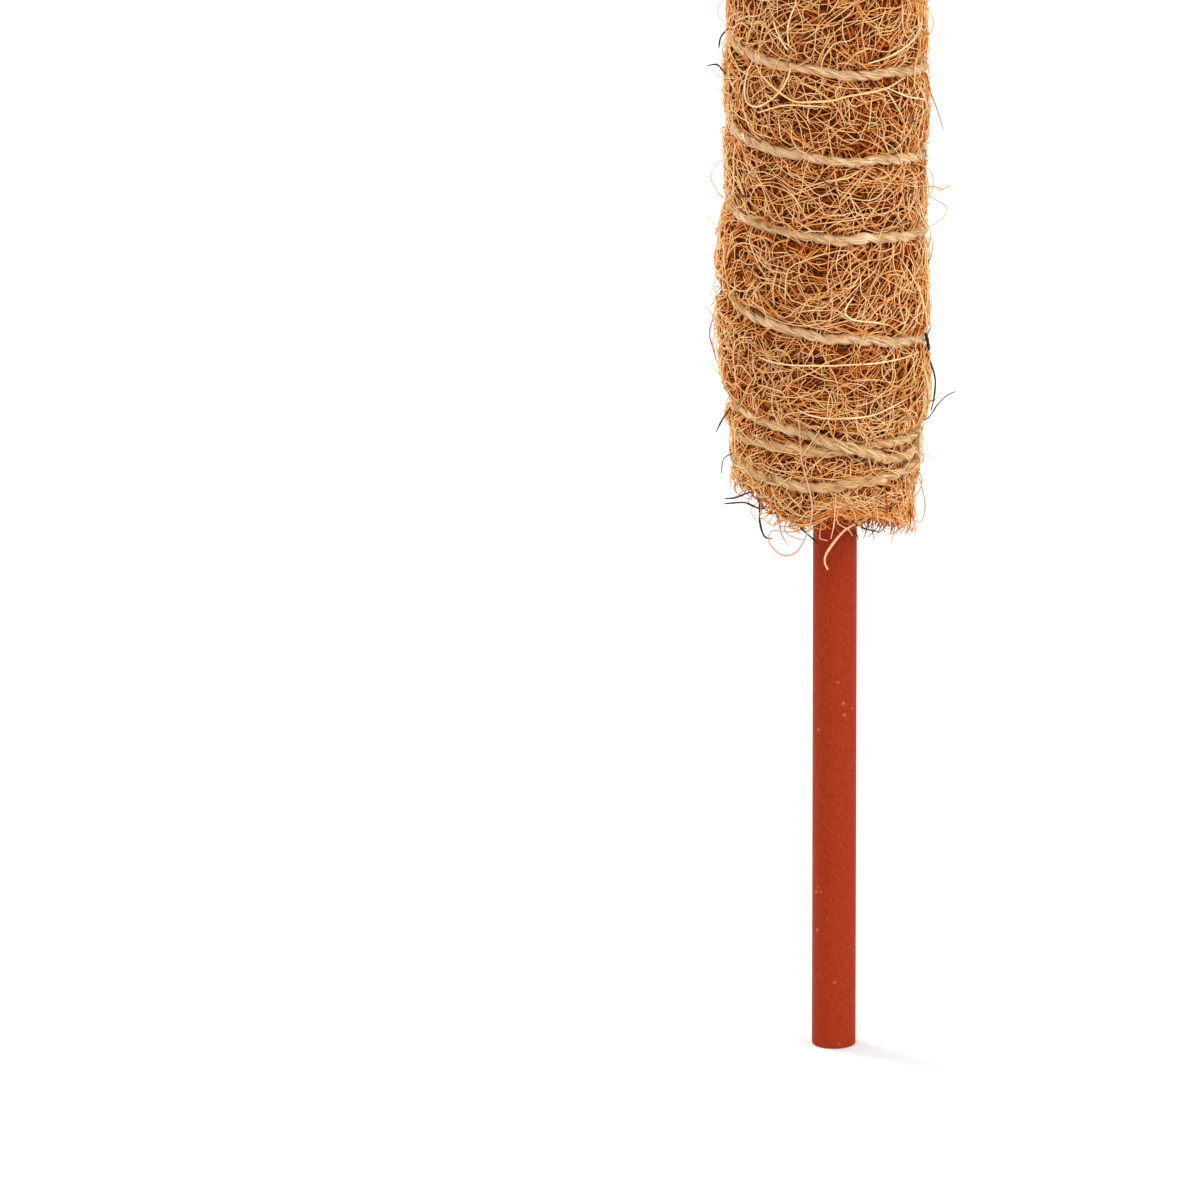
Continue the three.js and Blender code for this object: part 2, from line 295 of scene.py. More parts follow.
# The twine that is nearest above or below each place on the sleeve: how far away it is,
# the radius that it is laid at, and the radius where it rides.
def nearestTwine(angle, height):
    lap = np.mod((np.pi / 2 - angle) / tau, 1)
    shape = np.broadcast(angle, height).shape
    gap, laid, rides = np.full(shape, 1.0), np.full(shape, evenRadius), np.full(shape, evenRadius)
    for turn in range(twine["turns"]):
        here = np.abs(height - np.interp(lap + turn, routeTurn, routeHeight))
        closer = here < gap
        gap = np.where(closer, here, gap)
        laid = np.where(closer, np.interp(lap + turn, routeTurn, routeLaid), laid)
        rides = np.where(closer, np.interp(lap + turn, routeTurn, routeRadius), rides)
    return gap, laid, rides


# The sleeve's radius: a crown with lumps and a bulge, narrower at both ends, less a soft dip
# d exp(-(gap / wide)^2) and a groove down to the twine's inner side, exp(-(gap / narrow)^2).
def coirRadius(angle, height, near=None):
    gap, laid, rides = near or nearestTwine(angle, height)
    fromEnd = np.minimum(height - coirFoot, coirHead - height)
    crown = crownRadius - coir["loft"] - coir["endDrawnIn"] * (1 - ease(fromEnd, 0, coir["endLength"]))
    crown = crown - coir["endTuck"] * (1 - ease(fromEnd, -4 * mm, 8 * mm))
    uneven = lumps(angle, height, coir["lumpCycles"], coir["lumpWave"], 9, 820)
    crown = crown + coir["lumpHeight"] * uneven
    turned = np.mod(angle - coir["bulgeAngle"] + np.pi, tau) - np.pi
    up = (height - coirFoot - coir["bulgeUp"]) / coir["bulgeTall"]
    crown = crown + coir["bulge"] * np.exp(-((turned / coir["bulgeWidth"]) ** 2) - up**2)
    crown = crown - coir["dipDepth"] * np.exp(-((gap / coir["dipWidth"]) ** 2))
    floor = np.minimum(laid - 0.5 * twineRadius, crown)
    return crown - (crown - floor) * np.exp(-((gap / coir["grooveWidth"]) ** 2))


# The ragged foot's height: lower at +X, with two broad waves at the front, h exp(-(a / w)^2),
# and small ones all round.
def footEdge(angle):
    height = coirFoot - coir["footDrop"] - coir["footSlant"] * np.cos(angle)
    for wave, middle, wide in coir["footWaves"]:
        turned = np.mod(angle - middle + np.pi, tau) - np.pi
        height = height + wave * np.exp(-((turned / wide) ** 2))
    return height + coir["ragged"] * lumps(angle, 0 * angle, 14, 1, 8, 21)


# The ragged head, level apart from the waves
def headEdge(angle):
    return coirHead + coir["ragged"] * lumps(angle, 0 * angle, 12, 1, 8, 22)


# sRGB 0 to 255 to linear
def paint(red, green, blue):
    c = np.array([red, green, blue]) / 255
    linear = np.where(c <= 0.04045, c / 12.92, ((c + 0.055) / 1.055) ** 2.4)
    return (*[float(v) for v in linear], 1.0)


def newMaterial(name, roughness, specular):
    material = bpy.data.materials.new(name)
    material.use_nodes = True
    shader = material.node_tree.nodes["Principled BSDF"]
    shader.inputs["Roughness"].default_value = roughness
    shader.inputs["Specular IOR Level"].default_value = specular
    return material, material.node_tree, shader


# A node with its settings, and with a number, a colour or another node's output for each input
def addNode(tree, kind, inputs, **settings):
    node = tree.nodes.new(kind)
    for setting, value in settings.items():
        setattr(node, setting, value)
    for socket, value in inputs.items():
        if isinstance(value, bpy.types.NodeSocket):
            tree.links.new(value, node.inputs[socket])
        else:
            node.inputs[socket].default_value = value
    return node


def calculate(tree, operation, *values):
    return addNode(tree, "ShaderNodeMath", dict(enumerate(values)), operation=operation).outputs[0]


def mapRange(tree, value, limits):
    return addNode(tree, "ShaderNodeMapRange", {"Value": value, **limits}).outputs["Result"]


def mixColours(tree, share, first, second, blend="MIX"):
    inputs = {"Factor": share, "A": first, "B": second}
    mix = addNode(tree, "ShaderNodeMix", inputs, data_type="RGBA", blend_type=blend)
    return mix.outputs["Result"]


def addNoise(tree, place, scale, detail=2, stretch=(1, 1, 1), turn=(0, 0, 0), **more):
    lay = addNode(tree, "ShaderNodeMapping", {"Vector": place, "Scale": stretch, "Rotation": turn})
    inputs = {"Vector": lay.outputs["Vector"], "Scale": scale, "Detail": detail, **more}
    return addNode(tree, "ShaderNodeTexNoise", inputs).outputs["Fac"]


def colourRamp(tree, value, stops):
    ramp = addNode(tree, "ShaderNodeValToRGB", {"Fac": value})
    while len(ramp.color_ramp.elements) < len(stops):
        ramp.color_ramp.elements.new(0.5)
    for element, (place, colour) in zip(ramp.color_ramp.elements, stops):
        element.position = place
        element.color = colour
    return ramp.outputs["Color"]


def addBump(tree, shader, height, strength, distance):
    inputs = {"Height": height, "Strength": strength, "Distance": distance}
    bump = addNode(tree, "ShaderNodeBump", inputs)
    tree.links.new(bump.outputs["Normal"], shader.inputs["Normal"])


def objectPlace(tree):
    return addNode(tree, "ShaderNodeTexCoord", {}).outputs["Object"]


# The piece's own UV map, and its u and v
def ownPlace(tree):
    uv = addNode(tree, "ShaderNodeUVMap", {}, uv_map="OFBake").outputs["UV"]
    split = addNode(tree, "ShaderNodeSeparateXYZ", {0: uv})
    return uv, split.outputs["X"], split.outputs["Y"]


# Fibre colours at the places of a ramp, from dark husk brown to pale straw. Its dark, red end also
# serves as painted shade for deep fibres and inner flanks, and its pale end as painted highlight on
# outer ridges. The free ones are duller.
fibreColours = {
    "places": (0, 0.12, 0.3, 0.48, 0.7, 1),
    "red": (
        (50, 28, 16), (112, 41, 5), (186, 86, 20), (232, 132, 53), (252, 177, 97), (255, 224, 172)),
    "yellow": (
        (52, 30, 16), (112, 46, 5), (186, 94, 24), (233, 141, 58), (252, 187, 104), (255, 228, 176)),
    "freeRed": (
        (50, 32, 26), (74, 50, 38), (138, 100, 80), (178, 138, 114), (222, 160, 124), (255, 190, 150)),
    "freeYellow": (
        (50, 34, 26), (74, 54, 38), (138, 104, 80), (178, 142, 114), (224, 168, 128), (255, 200, 154)),
}


# Fibre: each strand's own tone drifts a little along the strand, and leans to red or to yellow.
def fibreMaterial(name, reds, yellows):
    material, tree, shader = newMaterial(name, 0.4, 0.1)
    uv, own = ownPlace(tree)[:2]
    drift, lean = [addNoise(tree, uv, 3, 3, stretch) for stretch in ((2, 20, 1), (3, 9, 1))]
    tone = calculate(tree, "MULTIPLY_ADD", drift, 0.26, own)
    tone = calculate(tree, "SUBTRACT", tone, 0.13)
    red, yellow = [
        colourRamp(tree, tone, [(p, paint(*c)) for p, c in zip(fibreColours["places"], colours)])
        for colours in (fibreColours[reds], fibreColours[yellows])
    ]
    lean = mapRange(tree, lean, {"From Min": 0.4, "From Max": 0.6})
    tree.links.new(mixColours(tree, lean, red, yellow), shader.inputs["Base Color"])
    return material


# Packed coir behind the loose fibres: dark brown, partly its own colour and partly painted shade of
# the gaps between the loose fibres, with tangled streaks of lighter fibre.
def packedMaterial():
    material, tree, shader = newMaterial("packed_coir", 0.9, 0)
    place = objectPlace(tree)
    first, second, third = [
        addNoise(tree, place, scale, 2, (0.12, 0.3, 1), (0.3, turn, 0.4 * turn), Distortion=1.2)
        for turn, scale in ((0.5, 2400), (-0.7, 2900), (1.4, 2100))
    ]
    most = calculate(tree, "MAXIMUM", calculate(tree, "MAXIMUM", first, second), third)
    # painted shade: the ramp's darkest brown stands in for the shade in the gaps between the loose
    # fibres
    colour = colourRamp(tree, most, [
        (0.46, paint(36, 12, 2)),
        (0.56, paint(94, 38, 8)),
        (0.7, paint(170, 92, 36)),
    ])
    tree.links.new(colour, shader.inputs["Base Color"])
    addBump(tree, shader, most, 0.8, 0.4 * mm)
    return material


# Jute: pale tan, streaked along the strand, pinker in places and duller in the turns at the foot.
def juteMaterial():
    material, tree, shader = newMaterial("jute", 0.8, 0.12)
    uv, _, along = ownPlace(tree)
    streak = addNoise(tree, uv, 1, 3, (9, 620, 1), Roughness=0.65)
    patch = addNoise(tree, uv, 1, 2, (3, 160, 1), Roughness=0.65)
    colour = colourRamp(tree, streak, [
        (0.34, paint(124, 91, 54)),
        (0.43, paint(190, 152, 106)),
        (0.54, paint(222, 186, 142)),
        (0.66, paint(250, 228, 194)),
    ])
    toFoot = mapRange(tree, along, {"From Min": 0.14, "From Max": 0.09})
    colour = mixColours(tree, patch, colour, (1, 0.91, 0.86, 1), "MULTIPLY")
    colour = mixColours(tree, toFoot, colour, (0.93, 0.87, 0.75, 1), "MULTIPLY")
    tree.links.new(colour, shader.inputs["Base Color"])
    addBump(tree, shader, streak, 0.6, 0.12 * mm)
    return material


# Brick-red plastic with faint mottling, a few pale specks and fine scuffs along it
def tubeMaterial():
    material, tree, shader = newMaterial("tube_plastic", 0.45, 0.03)
    place = objectPlace(tree)
    black, white = (0, 0, 0, 1), (1, 1, 1, 1)
    mottle = addNoise(tree, place, 1400, 4, Roughness=0.6)
    base = colourRamp(tree, mottle, [(0.34, paint(147, 46, 20)), (0.66, paint(165, 57, 30))])
    cells = addNode(tree, "ShaderNodeTexVoronoi", {"Vector": place, "Scale": 330})
    dot = colourRamp(tree, cells.outputs["Distance"], [(0, white), (0.17, black)])
    few = colourRamp(tree, addNoise(tree, place, 210), [(0.52, black), (0.62, white)])
    specks = calculate(tree, "MULTIPLY", dot, few)
    colour = mixColours(tree, specks, base, paint(222, 118, 88))
    tree.links.new(colour, shader.inputs["Base Color"])
    scuff = addNoise(tree, place, 900, 3, (1, 1, 0.08))
    rough = mapRange(tree, scuff, {"To Min": 0.36, "To Max": 0.52})
    tree.links.new(rough, shader.inputs["Roughness"])
    addBump(tree, shader, scuff, 0.3, 0.05 * mm)
    return material


# Husk: dull brown chips of coconut shell skin.
def huskMaterial():
    material, tree, shader = newMaterial("husk_flake", 0.75, 0.25)
    colour = colourRamp(tree, addNoise(tree, objectPlace(tree), 700, 4), [
        (0.3, paint(64, 32, 16)),
        (0.5, paint(116, 64, 32)),
        (0.75, paint(170, 106, 60)),
    ])
    tree.links.new(colour, shader.inputs["Base Color"])
    return material


fibrePaint = fibreMaterial("coir_fibre", "red", "yellow")
freePaint = fibreMaterial("free_fibre", "freeRed", "freeYellow")
packedPaint = packedMaterial()
jutePaint = juteMaterial()
tubePaint = tubeMaterial()
huskPaint = huskMaterial()

# The tube
tube = {
    "wall": 1 * mm,
    "rimRound": 0.5 * mm,
    "sides": 96,
    "rimSteps": 6,
    "lengthRows": 60,
    "boreRows": 30,
    "ovality": 0.004,  # of the radius
}


# The tube's wall: a closed profile of radius against height, with quarter-round outer rims,
# turned round the axis and very slightly oval.
def makeTube():
    quarter = np.linspace(0, np.pi / 2, tube["rimSteps"])
    bend = tube["rimRound"]
    outer = tubeRadius - bend
    footR, footZ = outer + bend * np.sin(quarter), bend * (1 - np.cos(quarter))
    sideZ = np.linspace(bend, poleHead - bend, tube["lengthRows"])[1:-1]
    radius = np.concatenate([footR, np.full(len(sideZ), tubeRadius), footR[::-1]])
    height = np.concatenate([footZ, sideZ, poleHead - footZ[::-1]])
    bore = tubeRadius - tube["wall"]
    boreZ = np.linspace(poleHead, 0, tube["boreRows"])
    radius = np.concatenate([radius, np.full(len(boreZ), bore)])
    height = np.concatenate([height, boreZ])
    angle = (tau * np.arange(tube["sides"]) / tube["sides"])[None]
    r = radius[:, None] * (1 + tube["ovality"] * np.cos(2 * angle + 0.6))
    points = np.stack([r * np.cos(angle), r * np.sin(angle), height[:, None] + 0 * angle], -1)
    faces = ringQuads(len(radius), tube["sides"], closeRows=True)
    return addPiece("tube", points.reshape(-1, 3), [faces], tubePaint)


tubePiece = makeTube()
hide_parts("core_tube")
print("tube made")

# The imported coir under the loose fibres
packed = {
    "inset": 1.5 * mm,  # its outside lies this far inside the sleeve's
    "endInset": 0.8 * mm,  # and further at both ends
    "endLength": 28 * mm,
    "columns": 108,
    "rows": 300,
    "endRows": 12,
    "roughness": 0.35 * mm,
    "boreGap": 0.15 * mm,
    "boreRows": 12,
    "footUp": 1.5 * mm,  # its ends lie this far inside the ragged ones
    "headDown": 1.2 * mm,
    "tuck": 1.6 * mm,  # how far its rims are rounded in
    "tuckLength": 1.4 * mm,
    "dome": 0.9 * mm,
}


# One closed surface: out from the tube over the ragged foot, up the outside, in over the
# head and back down along the tube.
def makePacked():
    angle = (tau * np.arange(packed["columns"]) / packed["columns"])[None]
    foot = footEdge(angle) + packed["footUp"]
    head = headEdge(angle) - packed["headDown"]
    t = np.linspace(0, 1, packed["rows"])[:, None]
    height = foot + (head - foot) * t
    fromEnd = np.minimum(height - foot, head - height)
    inset = packed["inset"] + packed["endInset"] * (1 - ease(fromEnd, 0, packed["endLength"]))
    side = coirRadius(angle + 0 * height, height) - inset
    side += packed["roughness"] * lumps(angle, height, 40, 3 * mm, 14, 8)
    for inside in (height - foot, head - height):
        side -= packed["tuck"] * np.exp(-inside / packed["tuckLength"])
    # the bore follows the tube, which isn't in the sleeve's middle
    boreX = -sleeveX * np.cos(angle)
    bore = boreX + np.sqrt(boreX**2 - sleeveX**2 + (tubeRadius + packed["boreGap"]) ** 2)
    s = np.linspace(0, 1, packed["endRows"])[:-1, None]
    dome = packed["dome"] * np.sin(np.pi * s) * (1 + lumps(angle, s * 9 * mm, 9, 5 * mm, 8, 9))
    footFace = bore + (side[0] - bore) * s
    headFace = side[-1] + (bore - side[-1]) * (1 - s[::-1])
    boreT = np.linspace(1, 0, packed["boreRows"])[1:-1, None]
    radius = np.concatenate([footFace, side, headFace, bore + 0 * boreT])
    z = np.concatenate([foot - dome, height, head + dome[::-1], foot + (head - foot) * boreT])
    points = roundSleeve(angle + 0 * radius, radius, z)
    faces = ringQuads(len(radius), packed["columns"], closeRows=True)
    return addPiece("packed_coir", points.reshape(-1, 3), [faces], packedPaint)


packedPiece = makePacked()
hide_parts("coir_core_wrap", "coir_mat")
print("packed coir made")

# Loose fibres. Lengths and thicknesses are in millimetres, curl is the spread of bend per
# millimetre, crinkle the spread of the heading's waves, and depth runs from 0, at the packed
# coir, to 1, outermost.
fibreKinds = {
    "deep": {
        "count": 3400, "steps": 10, "length": (14, 36), "thick": (0.3, 0.46), "depth": (0, 0.4),
        "curl": 0.08, "crinkle": 0.45, "waves": (0.8, 2.4),
    },
    "short": {
        "count": 9200, "steps": 7, "length": (4, 11), "thick": (0.22, 0.38), "depth": (0.2, 1),
        "curl": 0.2, "crinkle": 0.4, "waves": (0.5, 1.4),
    },
    "middle": {
        "count": 8000, "steps": 11, "length": (10, 23), "thick": (0.23, 0.41), "depth": (0.2, 1),
        "curl": 0.115, "crinkle": 0.45, "waves": (0.8, 2.4),
    },
    "long": {
        "count": 2700, "steps": 15, "length": (20, 44), "thick": (0.25, 0.46), "depth": (0.2, 1),
        "curl": 0.055, "crinkle": 0.45, "waves": (1, 3),
    },
}
fibres = {
    "sides": 3,
    "deepest": -1.7 * mm,  # layers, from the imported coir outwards
    "highest": 0.1 * mm,
    "weave": 0.45 * mm,  # how far a fibre dips and rises along its length
    "inTufts": 0.3,  # share of fibres that run beside others
    "tuftSize": 5,
    "levelShare": 0.5,  # share that runs more or less along the twine
    # painted highlight and painted shade: a fibre is painted paler on its outer side and darker on its
    # inner flanks
    "ridgeHighlightAndShade": 0.25,  # how much paler a fibre is on its outer side
    "overTwine": 0.05,  # share that crosses over the twine
    "overTies": 0.1,  # and over the close turns at each end
    "endGap": 0.3 * mm,  # how far fibres keep from an end
    "endRagged": 3.5,  # and how much further, in times their weave
    "mostDepth": 1.1,
    # painted shade: the tone gained with depth paints deeper fibres darker and redder
    "tone": 0.94,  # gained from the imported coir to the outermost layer
    "darkTone": -0.02,
    "toneSpread": 0.13,
    "tuftSpread": 1.6 * mm,
    "twineClear": 0.12 * mm,
    "tieShare": 0.025,  # share that fills in between the close turns at each end
    "tieHeight": 26 * mm,
    "trianglesPerPiece": 190000,
}
quickShare = 1


# Wavy headings: start + curl s + crinkle sin(waves), and half as much again of shorter waves, for
# each step of each fibre.
def headings(start, curl, crinkle, waves, length, steps):
    count = len(start)
    t = np.linspace(0, 1, steps)[None]
    course = start[:, None] + (curl * length)[:, None] * (t - 0.5)
    for share, pace in ((1, 1), (0.5, 1.9)):
        phase = pace * t * waves[:, None] + chance.random((count, 1))
        course = course + share * crinkle[:, None] * np.sin(tau * phase)
    return course


# Headings from the curl, crinkle and waves of one kind of fibre
def curled(facts, start, length):
    count = len(start)
    curl = facts["curl"] / mm * normal(count)
    crinkle = facts["crinkle"] * np.abs(normal(count))
    waves = chance.uniform(*facts["waves"], count)
    return headings(start, curl, crinkle, waves, length, facts["steps"])


# Steps of even length along the headings, summed: how far each point is along and across
def walk(course, length):
    step = (length / (course.shape[1] - 1))[:, None]
    return np.cumsum(np.cos(course) * step, axis=1), np.cumsum(np.sin(course) * step, axis=1)


# Each value but the first and last, with a quarter from each of its neighbours
def smoothed(radius):
    inner = (radius[:, :-2] + 2 * radius[:, 1:-1] + radius[:, 2:]) / 4
    return np.concatenate([radius[:, :1], inner, radius[:, -1:]], axis=1)


# Where a fibre is next to the twine, and how far from its middle it has to keep there:
# sqrt(clear^2 - gap^2)
def besideTwine(gap):
    clear = twineRadius + fibres["twineClear"]
    return gap < clear, np.sqrt(np.maximum(clear**2 - gap**2, 0))


# Puts unrolled paths on the sleeve. Each walks from its middle along its headings, and is
# lifted to its layer of the sleeve's radius, weaving in and out. Next to the twine it ducks
# under, or for a few rides over. Gives the paths and the depth at each point.
def layOnSleeve(course, length, startAngle, startHeight, layer, weave, over):
    count, steps = course.shape
    aside, rise = walk(course, length)
    middle = steps // 2
    angle = startAngle[:, None] + (aside - aside[:, middle:middle + 1]) / crownRadius
    height = startHeight[:, None] + rise - rise[:, middle:middle + 1]
    ragged = fibres["endGap"] + fibres["endRagged"] * weave[:, None]
    low, high = footEdge(angle) + ragged, headEdge(angle) - ragged
    height = np.where(height < low, low + 0.5 * (low - height), height)
    height = np.where(height > high, high - 0.5 * (height - high), height)
    near = nearestTwine(angle, height)
    t = np.linspace(0, 1, steps)[None]
    swing = np.sin(tau * (t * chance.uniform(0.5, 1.7, (count, 1)) + chance.random((count, 1))))
    radius = coirRadius(angle, height, near) + layer[:, None] + weave[:, None] * swing
    gap, laid, rides = near
    close, beside = besideTwine(gap)
    under = np.where(close, np.minimum(radius, laid - beside), radius)
    above = np.where(close, np.maximum(radius, rides + beside), radius)
    radius = smoothed(np.where(over[:, None], above, under))
    depth = radius - coirRadius(angle, height, near) - fibres["deepest"]
    depth = np.clip(depth / (fibres["highest"] - fibres["deepest"]), 0, fibres["mostDepth"])
    return roundSleeve(angle, radius, height), depth


# A fibre's thickness: full in the middle, thinner towards both ends, slightly uneven.
def fibreRadii(thick, steps):
    t = np.linspace(0, 1, steps)[None]
    taper = 0.45 + 0.55 * np.sin(np.pi * np.clip(t, 0.02, 0.98)) ** 0.5
    uneven = 1 + 0.12 * np.sin(tau * (3 * t + chance.random((len(thick), 1))))
    return thick[:, None] / 2 * taper * uneven


# Fibres as pieces from the foot up, each under the limit of triangles. A fibre's tone is u in
# its UV map, with a painted highlight on its outer ridge and painted shade on its inner flanks:
# tone + the ridge share (cos t - 0.2). v is a place of its own for each fibre, and runs on a little
# along it.
def addFibres(name, paths, radii, tone, sides=3, material=fibrePaint):
    count, steps = radii.shape
    tone = tone if tone.ndim == 2 else np.repeat(tone[:, None], steps, axis=1)
    # painted highlight on the outer ridge, painted shade on the inner flanks
    ridgeHighlightAndShade = fibres["ridgeHighlightAndShade"] * (np.cos(tau * np.arange(sides) / sides) - 0.2)
    tone = np.clip(tone[..., None] + ridgeHighlightAndShade * np.clip(3 * tone[..., None] - 0.2, 0, 1), 0.02, 0.98)
    place = 0.02 + 0.88 * chance.random((count, 1, 1)) + 0.08 * np.linspace(0, 1, steps)[None, :, None]
    order = np.argsort(paths[:, steps // 2, 2])
    each = 2 * sides * (steps - 1) + 2 * (sides - 2)
    groups = int(np.ceil(len(order) * each / fibres["trianglesPerPiece"]))
    for number, group in enumerate(np.array_split(order, groups), 1):
        points, faces = sweep(paths[group], radii[group], sides)
        title = f"{name}_{number}" if groups > 1 else name
        piece = addPiece(title, points, faces, material, (tone[group], place[group]))


# Places that fill a unit square evenly: equal steps that wrap round, from a random start.
def evenPlaces(count):
    steps = np.arange(count)[:, None] * [0.7548776662, 0.5698402910]
    return np.mod(chance.random(2) + steps, 1).T


# Fibres of one kind. Those in a tuft share a place, heading and curl, each a little off.
def layFibres(kind, facts):
    count = int(facts["count"] * quickShare)
    low, high = facts["length"]
    length = mm * (low + (high - low) * chance.beta(1.4, 2, count))
    tuft = chance.integers(0, count, count)
    lone = chance.random(count) > fibres["inTufts"]
    tuft = np.where(lone, np.arange(count), tuft // fibres["tuftSize"])
    across, up = evenPlaces(count)
    startAngle = (tau * across)[tuft]
    startHeight = coirFoot - 1 * mm + (coirHead - coirFoot + 1 * mm) * up
    ties, place = chance.random(count), fibres["tieHeight"] * chance.random(count)
    startHeight = np.where(ties < fibres["tieShare"], coirFoot + place, startHeight)
    startHeight = np.where(ties > 1 - fibres["tieShare"], coirHead - place, startHeight)[tuft]
    field = 0.9 * lumps(startAngle, startHeight, 3, 60 * mm, 6, 31)
    level = field - 0.1 + 0.4 * normal(count)[tuft]
    anyWay = chance.uniform(-np.pi / 2, np.pi / 2, count)[tuft]
    isLevel = (chance.random(count) < fibres["levelShare"])[tuft]
    heading = np.where(isLevel, level, anyWay)
    heading += np.where(lone, 0, 0.16 * normal(count))
    heading += np.pi * (chance.random(count) < 0.5)
    curl = normal(count)[tuft] + 0.3 * normal(count)
    curl *= facts["curl"] / mm
    aside = np.where(lone, 0, fibres["tuftSpread"])
    startAngle = startAngle + aside / crownRadius * normal(count)
    startHeight = startHeight + aside * normal(count)
    crinkle = facts["crinkle"] * np.abs(normal(count))
    steps = facts["steps"]
    course = headings(heading, curl, crinkle, chance.uniform(*facts["waves"], count), length, steps)
    shallow, outermost = facts["depth"]
    depth = shallow + (outermost - shallow) * chance.random(count) ** 0.9
    layer = fibres["deepest"] + (fibres["highest"] - fibres["deepest"]) * depth
    weave = fibres["weave"] * chance.random(count) * (0.4 + depth)
    fromEnd = np.minimum(startHeight - coirFoot, coirHead - startHeight)
    crossing = np.where(fromEnd < fibres["tieHeight"], fibres["overTies"], fibres["overTwine"])
    over = chance.random(count) < crossing
    paths, depth = layOnSleeve(course, length, startAngle, startHeight, layer, weave, over)
    thick = mm * chance.uniform(*facts["thick"], count)
    # painted shade: fibres are painted darker and redder the deeper they lie, and those crossing over
    # the twine are kept pale as lit ones on top
    tone = fibres["tone"] * depth + fibres["darkTone"]
    tone = tone + fibres["toneSpread"] * normal((count, 1))
    tone = np.clip(np.where(over[:, None], np.maximum(tone, 0.45), tone), 0.08, 0.98)
    addFibres(f"coir_fibres_{kind}", paths, fibreRadii(thick, steps), tone)


for kind, facts in fibreKinds.items():
    layFibres(kind, facts)
    print("fibres laid:", kind)

# Stray fibres that stand off the sleeve, as loops or as free ends
strays = {
    "count": 1300,
    "steps": 10,
    "length": (6, 18),
    "thick": (0.24, 0.38),
    "lift": 1.3 * mm,  # mean height of a stray off the sleeve
    "highest": 6 * mm,
    "loopShare": 0.45,
    "darkShare": 0.03,
    "darkTone": 0.04,
    "tone": (0.7, 0.18),  # and its spread
    "overTwine": 0.3,
    "curl": 0.09,  # per millimetre
    "crinkle": 0.35,
    "waves": (0.7, 2),
    "root": 0.5 * mm,  # how deep they start
}


# A stray leaves the surface and either comes back, lift sin(pi t), or ends free, lift t^2.
def makeStrays():
    count = int(strays["count"] * quickShare)
    steps = strays["steps"]
    length = mm * chance.uniform(*strays["length"], count)
    course = curled(strays, chance.uniform(0, tau, count), length)
    startAngle = tau * chance.random(count)
    startHeight = chance.uniform(coirFoot + 2 * mm, coirHead - 2 * mm, count)
    none = np.zeros(count)
    over = chance.random(count) < strays["overTwine"]
    dark = chance.random(count) < strays["darkShare"]
    paths = layOnSleeve(course, length, startAngle, startHeight, none, none, over & ~dark)[0]
    t = np.linspace(0, 1, steps)[None]
    loop = chance.random((count, 1)) < strays["loopShare"]
    lift = np.minimum(strays["lift"] * chance.exponential(1, (count, 1)), strays["highest"])
    off = lift * np.where(loop, np.sin(np.pi * t), t**2) - strays["root"] * (1 - t)
    flat = paths[..., :2] - [sleeveX, 0]
    paths[..., :2] += off[..., None] * flat / np.linalg.norm(flat, axis=-1, keepdims=True)
    thick = mm * chance.uniform(*strays["thick"], count)
    tone = np.where(dark, strays["darkTone"], chance.normal(*strays["tone"], count)).clip(0.02, 0.98)
    addFibres("stray_fibres", paths, fibreRadii(thick, steps), tone)


makeStrays()
print("strays made")

# The ragged foot and head
fringe = {
    "footCount": 1600,
    "headCount": 1200,
    "steps": 9,
    "shortest": 5 * mm,
    "mean": 3.4 * mm,  # of what a fringe fibre is longer than that
    "longest": 14 * mm,
    "thick": (0.2, 0.42),
    "root": 4.6 * mm,  # how far inside the edge they start
    "free": 1.2 * mm,  # past this they hang back
    "hangBack": 0.45,
    "spread": 1.15,  # of their first headings
    "curl": 0.19,  # per millimetre
    "crinkle": 0.5,
    "waves": (0.6, 1.6),
    "rimShare": 0.2,  # share that starts at the sleeve's outside
    "lean": 0.22,  # outwards or inwards, as a share of their length
    "tone": 0.52,
    "paintedShadeGain": 0.4,  # gained in 4 mm outwards
    "toneSpread": 0.16,
    "darkest": 0.28,
}


